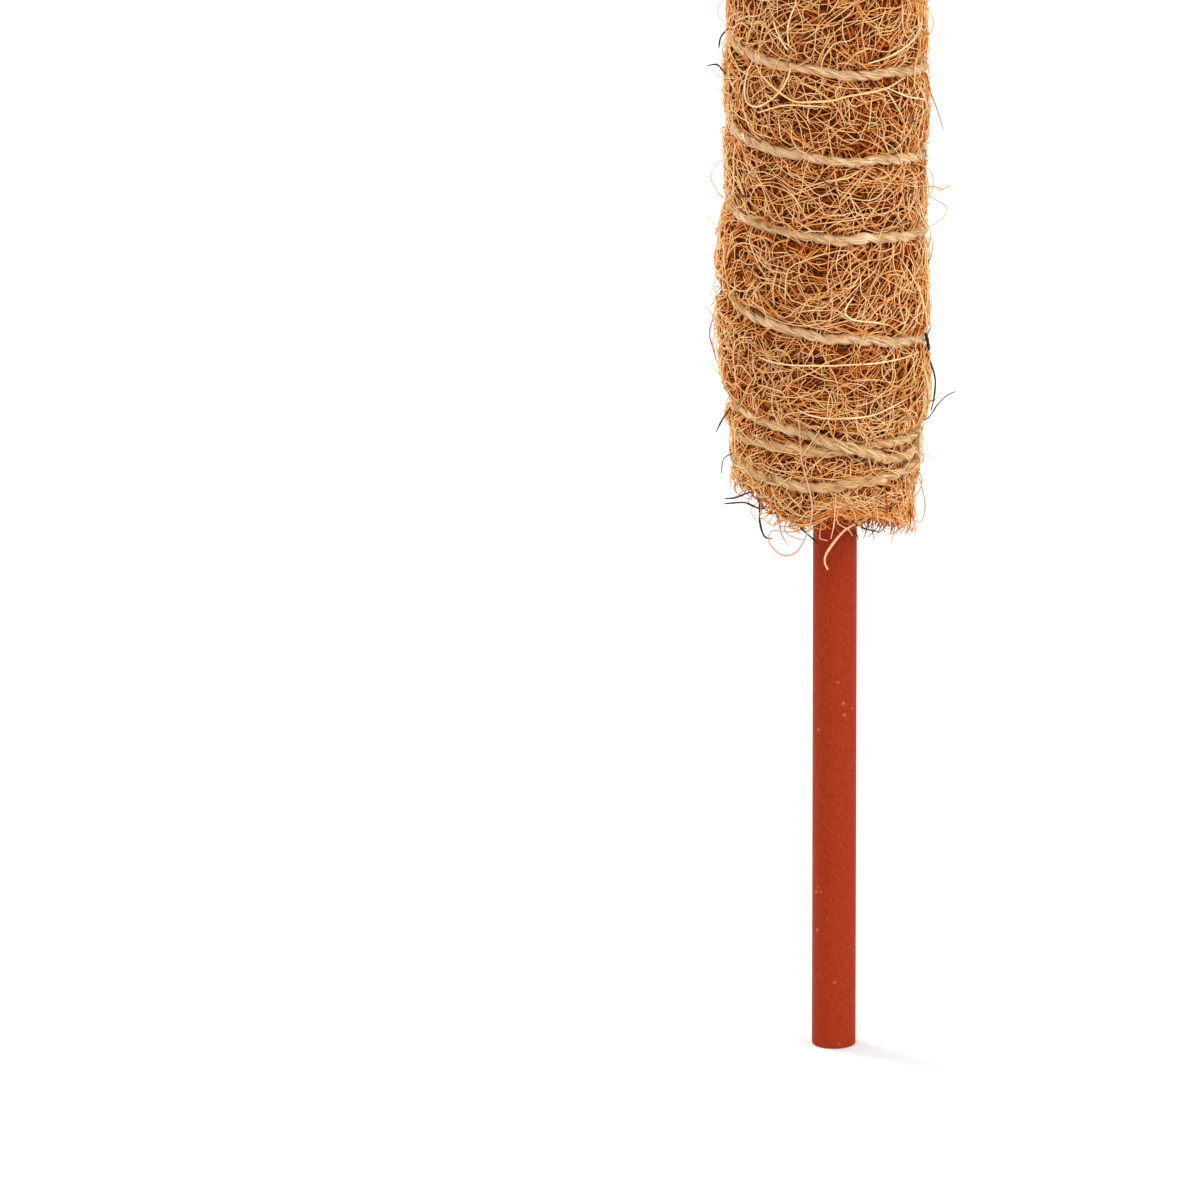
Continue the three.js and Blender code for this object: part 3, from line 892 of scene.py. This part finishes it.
# Fringe fibres start inside an end of the sleeve and run out over its edge, curling: the
# heading, measured from straight out of the end, is h + curl s + waves.
def makeFringe(name, atHead, count):
    count = int(count * quickShare)
    steps = fringe["steps"]
    way = 1 if atHead else -1
    angle = tau * chance.random(count)
    edge = headEdge(angle) if atHead else footEdge(angle)
    length = fringe["shortest"] + fringe["mean"] * chance.exponential(1, count)
    length = np.minimum(length, fringe["longest"])
    course = curled(fringe, fringe["spread"] * normal(count), length)
    out, aside = walk(course, length)
    out = out - (length / (steps - 1))[:, None]
    past = out - (fringe["root"] * chance.random(count) ** 0.7)[:, None]
    free = fringe["free"]
    past = np.where(past > free, free + fringe["hangBack"] * (past - free), past)
    height = edge[:, None] + way * past
    outside = coirRadius(angle, edge - way * 3 * mm) - 0.3 * mm
    inside = tubeRadius + 2.6 * mm
    area = np.where(chance.random(count) < fringe["rimShare"], 1.0, chance.random(count))
    begin = np.sqrt(inside**2 + (outside**2 - inside**2) * area) - 0.8 * mm * chance.random(count)
    t = np.linspace(0, 1, steps)[None]
    lean = (fringe["lean"] * normal(count) * length)[:, None]
    radius = begin[:, None] + lean * t + 0.5 * lean * np.sin(4 * t)
    radius = np.clip(radius, tubeRadius + 0.5 * mm, outside[:, None] + 1.4 * mm * t)
    turned = angle[:, None] + aside / np.maximum(begin, 9 * mm)[:, None]
    gap, laid = nearestTwine(turned, height)[:2]
    close, beside = besideTwine(gap)
    radius = smoothed(np.where(close, np.minimum(radius, laid - beside), radius))
    thick = mm * chance.uniform(*fringe["thick"], count)
    # painted shade: fringe fibres are painted darker the further inside the sleeve's outside they lie,
    # and paler outwards
    depth = np.clip((radius - outside[:, None]) / (4 * mm), -0.5, 0.4)
    tone = fringe["tone"] + fringe["paintedShadeGain"] * depth
    tone = tone + fringe["toneSpread"] * normal((count, 1))
    tone = np.clip(tone, fringe["darkest"], 0.98)
    addFibres(name, roundSleeve(turned, radius, height), fibreRadii(thick, steps), tone)


# Fibres that lie across the two ends, between the tube and the fringe
endFibres = {
    "count": 850,
    "steps": 7,
    "length": (4, 13),
    "thick": (0.22, 0.42),
    "curl": 0.16,  # per millimetre
    "crinkle": 0.4,
    "waves": (0.6, 1.6),
    "height": (-0.7 * mm, 0.9 * mm),
    "weave": 0.4 * mm,
    "tone": 0.5,
    "paintedShadeGain": 0.2,  # gained in each millimetre outwards
    "toneSpread": 0.15,
    "darkest": 0.28,
}


# An end fibre walks along its headings from its middle in the plane of the end, kept between
# the tube and the sleeve's outside.
def makeEnd(name, atHead):
    count = int(endFibres["count"] * quickShare)
    steps = endFibres["steps"]
    way = 1 if atHead else -1
    length = mm * chance.uniform(*endFibres["length"], count)
    curl = endFibres["curl"] / mm * normal(count)
    crinkle = endFibres["crinkle"] * np.abs(normal(count))
    heading = chance.uniform(0, tau, count)
    waves = chance.uniform(*endFibres["waves"], count)
    course = headings(heading, curl, crinkle, waves, length, steps)
    aside, along = walk(course, length)
    begin = np.sqrt(tubeRadius**2 + (crownRadius**2 - tubeRadius**2) * chance.random((count, 1)))
    around = tau * chance.random((count, 1))
    middle = steps // 2
    x = begin * np.cos(around) + aside - aside[:, middle:middle + 1]
    y = begin * np.sin(around) + along - along[:, middle:middle + 1]
    angle = np.arctan2(y, x)
    edge = headEdge(angle) if atHead else footEdge(angle)
    outside = coirRadius(angle, edge - way * 3 * mm) - 0.5 * mm
    radius = np.minimum(np.hypot(x, y), outside)
    t = np.linspace(0, 1, steps)[None]
    layer = chance.uniform(*endFibres["height"], (count, 1))
    swing = endFibres["weave"] * chance.random((count, 1))
    swing = swing * np.sin(tau * (t + chance.random((count, 1))))
    paths = roundSleeve(angle, radius, edge + way * (layer + swing))
    fromTube = np.hypot(paths[..., 0], paths[..., 1])
    paths[..., :2] *= (np.maximum(fromTube, tubeRadius + 0.4 * mm) / fromTube)[..., None]
    thick = mm * chance.uniform(*endFibres["thick"], count)
    # painted shade: end fibres lying deeper in the end are painted darker, those further out paler
    tone = endFibres["tone"] + endFibres["paintedShadeGain"] * layer / mm + 0 * t
    tone = tone + endFibres["toneSpread"] * normal((count, 1))
    tone = np.clip(tone, endFibres["darkest"], 0.98)
    addFibres(name, paths, fibreRadii(thick, steps), tone)


makeEnd("foot_end_fibres", False)
makeEnd("head_end_fibres", True)
makeFringe("foot_fringe", False, fringe["footCount"])
makeFringe("head_fringe", True, fringe["headCount"])
print("ragged ends made")

# Single fibres that stand out in the photograph: tone, thickness, depths and the pixels that
# each passes through. Those with depths stand free, that far towards the viewer from the
# tube's middle at their first and last point, in millimetres. The others lie on the sleeve.
seenFibres = {
    "loop": (0.6, 0.42, (23.2, 17), [
        (797, 418), (799, 440), (800, 458), (803, 471), (809, 493), (811, 505), (811, 518),
        (808, 527), (804, 539), (797, 551), (787, 556), (777, 553), (769, 544), (768, 536),
        (772, 531), (784, 532),
        (794, 532), (802, 529), (807, 524)]),
    "bigCurl": (0.78, 0.66, (16.4, 19), [
        (875, 508), (870, 515), (863, 520), (854, 524), (842, 532), (832, 544), (825, 555),
        (824, 563), (827, 570)]),
    "tubeLine": (0.86, 0.32, (21, 20.6), [
        (835, 493), (834, 508), (833, 524), (830, 539)]),
    "tubeHook": (0.66, 0.26, (19, 19), [
        (822, 515), (820, 527), (819, 538), (823, 540), (827, 541)]),
    "darkHook": (0.02, 0.46, (13.4, 15), [
        (758, 497), (759, 508), (759, 520), (762, 533), (766, 538), (772, 539)]),
    "darkArc": (0.02, 0.46, (10, 15), [
        (724, 504), (736, 503), (745, 503), (752, 506), (760, 509), (765, 507), (766, 500)]),
    "darkTip": (0.02, 0.42, (10, 12.4), [
        (724, 499), (735, 498), (745, 494), (752, 492)]),
    "darkUnder": (0.02, 0.46, (17.4, 19.4), [
        (786, 510), (788, 514), (794, 522), (804, 532), (813, 540), (817, 544)]),
    "darkRight": (0.03, 0.44, (18.6, 17.6), [
        (849, 520), (857, 525), (864, 529), (877, 532)]),
    "leftThin": (0.5, 0.3, (16.2, 16.6), [
        (777, 510), (779, 524), (781, 535), (789, 547)]),
    "rightThin": (0.56, 0.28, (11.6, 12.6), [
        (898, 513), (894, 528), (890, 544)]),
    "rightLoop": (0.56, 0.28, (6.4, 6.8), [
        (912, 475), (919, 480), (921, 487), (924, 500), (924, 512), (920, 522), (912, 520)]),
    "leftStray": (0.03, 0.44, (6, 4), [
        (730, 408), (727, 413), (722, 420), (716, 432)]),
    "leftWisp": (0.1, 0.28, (6, 5), [
        (740, 452), (735, 453), (731, 454), (723, 460), (721, 474)]),
    "rightStray": (0.03, 0.42, (5, 5), [
        (923, 352), (928, 360), (934, 379), (933, 398), (930, 411)]),
    "rightWisp": (0.06, 0.28, (3, 3), [
        (955, 392), (946, 396), (936, 406), (931, 414), (926, 419), (919, 422)]),
    "upperHook": (0.03, 0.44, (6, 4), [
        (733, 29), (728, 32), (720, 41), (718, 52)]),
    "upperWisp": (0.03, 0.4, (3, 5), [
        (707, 69), (716, 68), (722, 74), (728, 81)]),
    "huskChip": (0.02, 0.8, (4, 4), [
        (924, 334), (926, 340), (927, 346), (928, 351)]),
    "thickArc": (0.68, 0.56, None, [
        (753, 70), (760, 81), (772, 93), (782, 101), (794, 107), (811, 107), (829, 106), (844, 102),
        (859, 99), (874, 96), (889, 91), (905, 82)]),
    "arcEnd": (0.9, 0.4, None, [(886, 93), (903, 100), (914, 102), (923, 103)]),
    "bowl": (0.86, 0.42, None, [
        (749, 66), (744, 87), (745, 105), (754, 111), (765, 107), (778, 96), (786, 81), (788, 69)]),
    "underArc": (0.84, 0.4, None, [
        (756, 117), (773, 112), (786, 110), (806, 111), (825, 112)]),
    "topSweep": (0.88, 0.42, None, [
        (866, 69), (884, 63), (900, 54), (911, 44), (917, 33)]),
    "topUpright": (0.85, 0.36, None, [(795, 8), (789, 22), (786, 36), (787, 52)]),
    "topLeft": (0.9, 0.4, None, [(772, 26), (776, 38), (782, 50), (786, 56)]),
    "longLevel": (0.88, 0.42, None, [
        (757, 359), (768, 363), (781, 366), (798, 367), (814, 367), (832, 367), (849, 366), (870, 365),
        (890, 362), (905, 358), (917, 353)]),
    "lowLevel": (0.85, 0.38, None, [
        (795, 410), (808, 416), (824, 419), (841, 419), (858, 418), (874, 415), (890, 408),
        (906, 400)]),
    "wiggle": (0.92, 0.44, None, [
        (852, 300), (846, 308), (844, 316), (851, 322), (863, 324), (876, 325), (887, 327)]),
}


# A smooth path through a fibre's pixels, cut into even shares. Height follows from the pixel
# row and the depth, and depth on the sleeve from the circle of the sleeve.
def seenPath(depths, pixels, steps):
    corners = np.array(pixels, float)
    corners = np.vstack([corners, 2 * corners[-1] - corners[-2]])
    place = np.linspace(0, len(pixels) - 1 - 1e-6, steps)
    right, down = [smoothThrough(corners[:, axis], place) for axis in range(2)]
    x = (right - photo["tubeMiddle"]) * pixel
    if depths:
        depth = mm * np.linspace(*depths, steps)
    else:
        depth = np.sqrt(np.maximum((crownRadius + 0.25 * mm) ** 2 - (x - sleeveX) ** 2, 0))
    slope = photo["lookDown"]
    height = ((photo["tubeFoot"] - down) * pixel + depth * np.sin(slope)) / np.cos(slope)
    if not depths:
        angle = np.arctan2(-depth, x - sleeveX)
        gap, laid, rides = nearestTwine(angle, height)
        reach = coirRadius(angle, height) + 0.45 * mm
        radius = np.where(gap < 1.2 * twineRadius, np.maximum(reach, rides + 1.1 * twineRadius), reach)
        x, depth = sleeveX + radius * np.cos(angle), -radius * np.sin(angle)
    return np.stack([x, -depth, height], axis=-1)


seenSteps, seenSides = 40, 6
for name, isFree, paintOn in (
    ("standing_out_fibres", False, fibrePaint),
    ("free_fibres", True, freePaint),
):
    tones, thick, depths, pixels = zip(*[f for f in seenFibres.values() if bool(f[2]) == isFree])
    paths = np.stack([seenPath(d, p, seenSteps) for d, p in zip(depths, pixels)])
    radii = fibreRadii(mm * np.array(thick), seenSteps)
    addFibres(name, paths, radii, np.array(tones), seenSides, paintOn)
print("single fibres made")

# The twine: two soft strands, loosely twisted together and pressed flat on the coir
ply = {
    "strandRadius": 0.9 * mm,
    "offset": 0.42 * mm,  # each strand's middle from the twine's
    "flat": 0.8,
    "lay": 8 * mm,  # length of one full twist
    "step": 0.8 * mm,
    "sides": 8,
    "uneven": 0.12,  # how much thicker and thinner it gets
    "wander": 0.2 * mm,
    "wanderWave": 17 * mm,
    "liftTurns": 0.08,  # over which it climbs out of its groove to a knot
}


# The middle of a node, and how far that is from the sleeve's axis
def nodeMiddle(node):
    low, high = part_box(node)
    middle = np.array((low + high) / 2)
    return middle, np.hypot(middle[0] - sleeveX, middle[1])


# The route as even steps of length, with a small wander: points, and the length so far.
def twinePath():
    footLift = nodeMiddle("foot_knot")[1] - routeRadius[0]
    headLift = nodeMiddle("head_knot")[1] - routeRadius[-1]
    lifted = routeRadius + footLift * (1 - ease(routeTurn, 0, ply["liftTurns"]))
    lifted = lifted + headLift * (1 - ease(twine["turns"] - routeTurn, 0, ply["liftTurns"]))
    course = roundSleeve(routeAngle, lifted, routeHeight)
    length = np.concatenate([[0], np.cumsum(np.linalg.norm(np.diff(course, axis=0), axis=1))])
    even = np.linspace(0, length[-1], int(length[-1] / ply["step"]))
    angle, radius, height = [np.interp(even, length, a) for a in (routeAngle, lifted, routeHeight)]
    wave = tau * even / ply["wanderWave"]
    sway = np.sin(wave) + np.sin(0.63 * wave + 1) + 0.6 * np.sin(1.9 * wave)
    height = height + ply["wander"] * sway
    radius = radius + 0.35 * ply["wander"] * np.sin(1.37 * wave + 2)
    return roundSleeve(angle, radius, height), even


# A place round a strand, from 0 to 1 and back, so that the pattern meets itself
def aroundStrand(sides):
    return 1 - np.abs(1 - 2 * np.arange(sides) / sides)


# Each strand's middle circles the twine's path once for each lay, flattened against the coir;
# the two are half a turn apart.
def makeTwine():
    path, length = twinePath()
    along = unit(np.gradient(path, axis=0))
    out = squareTo(along, (path - [sleeveX, 0, 0]) * [1, 1, 0])
    across = np.cross(along, out)
    swell = 1 + ply["uneven"] * (np.sin(length * 210) + np.sin(length * 97 + 1)) / 2
    strands = []
    for half in (0, np.pi):
        twist = tau * length / ply["lay"] + half + 0.7 * np.sin(length * 130)
        circle = ply["flat"] * np.cos(twist)[:, None] * out + np.sin(twist)[:, None] * across
        strands.append(path + ply["offset"] * swell[:, None] * circle)
    strands = np.stack(strands)
    uneven = swell * (1 + 0.05 * np.sin(length * 900) + 0.04 * np.sin(length * 2300 + 1))
    radii = np.broadcast_to(ply["strandRadius"] * uneven, strands.shape[:2])
    points, faces = sweep(strands, radii, ply["sides"], ply["flat"])
    u = np.broadcast_to(aroundStrand(ply["sides"]), (*strands.shape[:2], ply["sides"]))
    piece = addPiece("twine", points, faces, jutePaint, (u, (length / length[-1])[None, :, None]))
    return piece, path, length, out, across, swell


twinePiece, twineLine, twineLength, twineOut, twineAcross, twineSwell = makeTwine()
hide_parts("binding_twine")

# Fine fibres of the twine: most hug it, and some stand off
fuzz = {
    "count": 6400,
    "steps": 5,
    "length": (3, 8),
    "thick": (0.09, 0.2),
    "lay": 6 * mm,  # length in which a fibre goes once round
    "standShare": 0.3,
    "stand": 0.8 * mm,
}


# A fine fibre follows the twine from its start, slowly turning round it, and may bend away
# as t^2.
def makeFuzz():
    count = int(fuzz["count"] * quickShare)
    steps = fuzz["steps"]
    t = np.linspace(0, 1, steps)[None]
    long = mm * chance.uniform(*fuzz["length"], (count, 1))
    begin = chance.uniform(2 * mm, twineLength[-1] - 12 * mm, (count, 1))
    at = begin + long * t
    line, out, across = [
        np.stack([np.interp(at, twineLength, whole[:, axis]) for axis in range(3)], axis=-1)
        for whole in (twineLine, twineOut, twineAcross)
    ]
    swell = np.interp(at, twineLength, twineSwell)
    turned = chance.uniform(0, tau, (count, 1)) + tau * long * t / fuzz["lay"]
    turned = turned + 0.3 * normal((count, 1)) * t
    loose = chance.random((count, 1)) < fuzz["standShare"]
    stand = np.where(loose, fuzz["stand"] * chance.exponential(1, (count, 1)), 0.04 * mm)
    reach = (ply["strandRadius"] + 0.4 * ply["offset"]) * swell + stand * t**2
    side = ply["flat"] * np.cos(turned)[..., None] * out + np.sin(turned)[..., None] * across
    paths = line + reach[..., None] * side
    thick = mm * chance.uniform(*fuzz["thick"], count)
    radii = thick[:, None] / 2 * (1 - 0.5 * np.abs(2 * t - 1) ** 2)
    points, faces = sweep(paths, radii, 3)
    v = np.broadcast_to((at / twineLength[-1])[..., None], (count, steps, 3))
    piece = addPiece("twine_fuzz", points, faces, jutePaint, (chance.random((count, 1, 1)), v))


makeFuzz()
print("twine made")

# Knots at the back
knot = {
    "cord": 1.05 * mm,  # the twine's radius where it is pulled tight
    "coil": 1.25 * mm,  # radius of the coil's middle line
    "turns": 2,
    "length": 3.6 * mm,
    "tail": 9 * mm,
    "steps": 150,
    "sides": 12,
    "frayCount": 46,
    "fraySteps": 7,
    "frayLength": (2.5, 6.5),
    "frayThick": (0.1, 0.2),
}


# The twine runs through a coil that is wound back round it, and its tail hangs down over the
# coir. The coil is middle + e length (1/2 - s) + r (cos a out + sin a across).
def knotPath(node, atFoot):
    middle = nodeMiddle(node)[0]
    end, before = (twineLine[0], twineLine[3]) if atFoot else (twineLine[-1], twineLine[-4])
    away = unit(end - before)
    out = squareTo(away, middle - [sleeveX, 0, middle[2]])
    across = np.cross(away, out)
    hand = -np.sign(across[2])
    half = knot["length"] / 2
    core = end + (middle + away * half - end) * np.linspace(0, 1, 5)[:, None]
    s = np.linspace(0, 1, 9 * knot["turns"] + 1)[:, None]
    turned = hand * tau * knot["turns"] * (s - 1)
    radial = np.cos(turned) * out + np.sin(turned) * across
    coil = middle + away * half * (1 - 2 * s) + knot["coil"] * radial
    t = np.linspace(0, 1, 8)[1:]
    last = coil[-1]
    angle = np.arctan2(last[1], last[0] - sleeveX) + 0.1 * hand * np.sin(2.6 * t)
    height = last[2] - knot["tail"] * t
    gap, laid, rides = nearestTwine(angle, height)
    rest = coirRadius(angle, height)
    rest = np.where(gap < 2 * twineRadius, np.maximum(rest, rides + twineRadius), rest)
    rest += 0.9 * knot["cord"]
    top = np.hypot(last[0] - sleeveX, last[1])
    radius = rest + (top - rest) * np.exp(-((t / 0.3) ** 2))
    tail = roundSleeve(angle, radius, height)
    corners = np.concatenate([core[:-1], coil, tail])
    outs = np.concatenate([np.tile(out, (4, 1)), radial, np.tile(out, (len(t), 1))])
    size = np.concatenate([np.full(4, 0.5), np.ones(len(s)), np.linspace(1, 0.8, len(t))])
    place = np.linspace(0, len(corners) - 1 - 1e-6, knot["steps"])
    path = np.stack([smoothThrough(corners[:, axis], place) for axis in range(3)], axis=-1)
    outs = np.stack([smoothThrough(outs[:, axis], place) for axis in range(3)], axis=-1)
    return path, outs, knot["cord"] * smoothThrough(size, place)


def makeKnot(name, node, atFoot):
    path, outs, radii = knotPath(node, atFoot)
    points, faces = sweep(path[None], radii[None], knot["sides"], out=outs[None])
    length = np.cumsum(np.linalg.norm(np.gradient(path, axis=0), axis=1))
    u = np.tile(aroundStrand(knot["sides"]), knot["steps"])
    v = np.repeat(length / twineLength[-1], knot["sides"])
    piece = addPiece(name, points, faces, jutePaint, (u, v))
    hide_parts(node)
    return path[-1], path[-1] - path[-4]


# Frayed ends: each fibre runs on from the tail and spreads, point + long t (way + spread t).
def makeFray(ends):
    count, steps = knot["frayCount"], knot["fraySteps"]
    t = np.linspace(0, 1, steps)[None, :, None]
    paths = []
    for end, way in ends:
        way = unit(way)
        long = mm * chance.uniform(*knot["frayLength"], (count, 1, 1))
        start = end + 0.6 * knot["cord"] * chance.uniform(-1, 1, (count, 1, 3)) - 1.5 * mm * way
        spread = 0.55 * normal((count, 1, 3)) * [1, 0.5, 1]
        curl = 0.25 * np.sin(3 * t + chance.uniform(0, tau, (count, 1, 1)))
        curl = curl * normal((count, 1, 3))
        paths.append(start + long * t * (1.3 * way + spread * t + curl * t))
    paths = np.concatenate(paths)
    flat = paths[..., :2] - [sleeveX, 0]
    reach = np.linalg.norm(flat, axis=-1)
    floor = coirRadius(np.arctan2(flat[..., 1], flat[..., 0]), paths[..., 2]) + 0.2 * mm
    paths[..., :2] = [sleeveX, 0] + flat * (np.maximum(reach, floor) / reach)[..., None]
    thick = mm * chance.uniform(*knot["frayThick"], len(paths))
    radii = thick[:, None] / 2 * (1 - 0.5 * t[..., 0])
    points, faces = sweep(paths, radii, 3)
    v = np.broadcast_to(0.01 * t + chance.random((len(paths), 1, 1)), (len(paths), steps, 3))
    piece = addPiece("frayed_ends", points, faces, jutePaint, (chance.random((len(paths), 1, 1)), v))


knotEnds = [makeKnot("knot_at_foot", "foot_knot", True), makeKnot("knot_at_head", "head_knot", False)]
makeFray(knotEnds)
print("knots made")

# Husk flakes caught in the fibres
flakes = {
    "count": 22,
    "length": (2, 5),
    "width": (0.5, 1.1),
    "thick": 0.3 * mm,
    "rows": 9,
    "columns": 10,
}


# A flake: an ellipse of width w sin(pi s)^0.6 carried along its length, thin across, bent a
# little to the sleeve.
def makeFlakes():
    count = flakes["count"]
    angle = tau * chance.random(count)
    height = chance.uniform(coirFoot + 6 * mm, coirHead - 6 * mm, count)
    gap = nearestTwine(angle, height)[0]
    height = height + np.where(gap < 4 * mm, 5 * mm, 0)
    length = mm * chance.uniform(*flakes["length"], count)[:, None, None]
    width = mm * chance.uniform(*flakes["width"], count)[:, None, None] / 2
    heading = chance.normal(-0.5, 0.8, count)[:, None, None]
    s = np.linspace(0.01, 0.99, flakes["rows"])[None, :, None]
    turned = (tau * np.arange(flakes["columns"]) / flakes["columns"])[None, None]
    shape = np.sin(np.pi * s) ** 0.6
    x = length * (s - 0.5)
    y = width * shape * np.cos(turned) * (1 + 0.2 * np.sin(9 * s + heading * 7))
    lift = flakes["thick"] / 2 * shape * np.sin(turned)
    aside = x * np.cos(heading) - y * np.sin(heading)
    rise = x * np.sin(heading) + y * np.cos(heading)
    a = angle[:, None, None] + aside / crownRadius
    z = height[:, None, None] + rise
    middle = coirRadius(angle, height)[:, None, None]
    points = roundSleeve(a, middle + 0.2 * mm + lift, z)
    each = flakes["rows"] * flakes["columns"]
    first = (np.arange(count) * each)[:, None, None]
    quads = (first + ringQuads(flakes["rows"], flakes["columns"])[None]).reshape(-1, 4)
    ends = first[:, 0] + np.arange(flakes["columns"])[None]
    otherEnds = ends[:, ::-1] + each - flakes["columns"]
    faces = [quads, ends[:, ::-1], otherEnds[:, ::-1]]
    piece = addPiece("husk_flakes", points.reshape(-1, 3), faces, huskPaint)


makeFlakes()
print("flakes made")

# Stage, camera and light
light = {
    "world": 0.71,
    "floorColour": (0.82, 0.82, 0.82, 1),
    "floorGlow": 0.12,
    "floorReach": 6,
    "lamps": {  # power, size and place
        "front": (22.5, 1.2, (-0.5, -1.9, 1.8)),
        "side": (21.5, 0.9, (2.1, -0.85, 0.8)),
        "rim": (32, 1.0, (-1.6, 1.3, 1.2)),
    },
    "aim": (0, 0, 0.2),
}


def makeCamera():
    wide = photo["size"] * pixel
    down = photo["lookDown"]
    up = Vector((0, np.sin(down), np.cos(down)))
    aim = Vector(((photo["size"] / 2 - photo["tubeMiddle"]) * pixel, 0, 0))
    aim += Vector((0, 0, (photo["tubeFoot"] - photo["size"] / 2) * pixel / up.z))
    camera = addObject("camera", bpy.data.cameras.new("camera"))
    camera.location = aim + photo["distance"] * Vector((0, -np.cos(down), np.sin(down)))
    camera.rotation_euler = (np.pi / 2 - down, 0, 0)
    camera.data.sensor_width = photo["sensor"]
    camera.data.lens = photo["sensor"] * photo["distance"] / wide
    camera.data.clip_end = 50
    bpy.context.scene.camera = camera


def addLamp(name, power, size, place):
    lamp = addObject(name, bpy.data.lights.new(name, "AREA"))
    lamp.data.energy = power
    lamp.data.size = size
    lamp.location = place
    toAim = Vector(light["aim"]) - Vector(place)
    lamp.rotation_euler = toAim.to_track_quat("-Z", "Y").to_euler()


# Plain pale floor. What the camera sees of it glows a little, so that it is white there apart
# from the shadow.
def makeFloor():
    material = bpy.data.materials.new("floor")
    material.use_nodes = True
    tree = material.node_tree
    tree.nodes.clear()
    rays = addNode(tree, "ShaderNodeLightPath", {})
    strength = calculate(tree, "MULTIPLY", rays.outputs["Is Camera Ray"], light["floorGlow"])
    glow = addNode(tree, "ShaderNodeEmission", {"Strength": strength})
    diffuse = addNode(tree, "ShaderNodeBsdfDiffuse", {"Color": light["floorColour"]})
    both = addNode(tree, "ShaderNodeAddShader", {0: diffuse.outputs[0], 1: glow.outputs[0]})
    addNode(tree, "ShaderNodeOutputMaterial", {"Surface": both.outputs[0]})
    far = light["floorReach"]
    points = np.array([(-far, -far, 0), (far, -far, 0), (far, far, 0), (-far, far, 0)], float)
    points[:, 2] = -0.02 * mm
    addPiece("floor", points, [np.array([[0, 1, 2, 3]])], material, stage=True)


def makeWorld():
    world = bpy.data.worlds.new("studio")
    bpy.context.scene.world = world
    world.use_nodes = True
    tree = world.node_tree
    back = tree.nodes["Background"]
    back.inputs["Color"].default_value = (1, 1, 1, 1)
    rays = addNode(tree, "ShaderNodeLightPath", {}).outputs
    seen = calculate(tree, "MAXIMUM", rays["Is Camera Ray"], rays["Is Glossy Ray"])
    strength = mapRange(tree, seen, {"To Min": light["world"], "To Max": 1})
    tree.links.new(strength, back.inputs["Strength"])


makeCamera()
makeFloor()
makeWorld()
for name, (power, size, place) in light["lamps"].items():
    addLamp(name, power, size, place)
bpy.context.scene.view_settings.view_transform = "Standard"
print("stage, camera and light made")
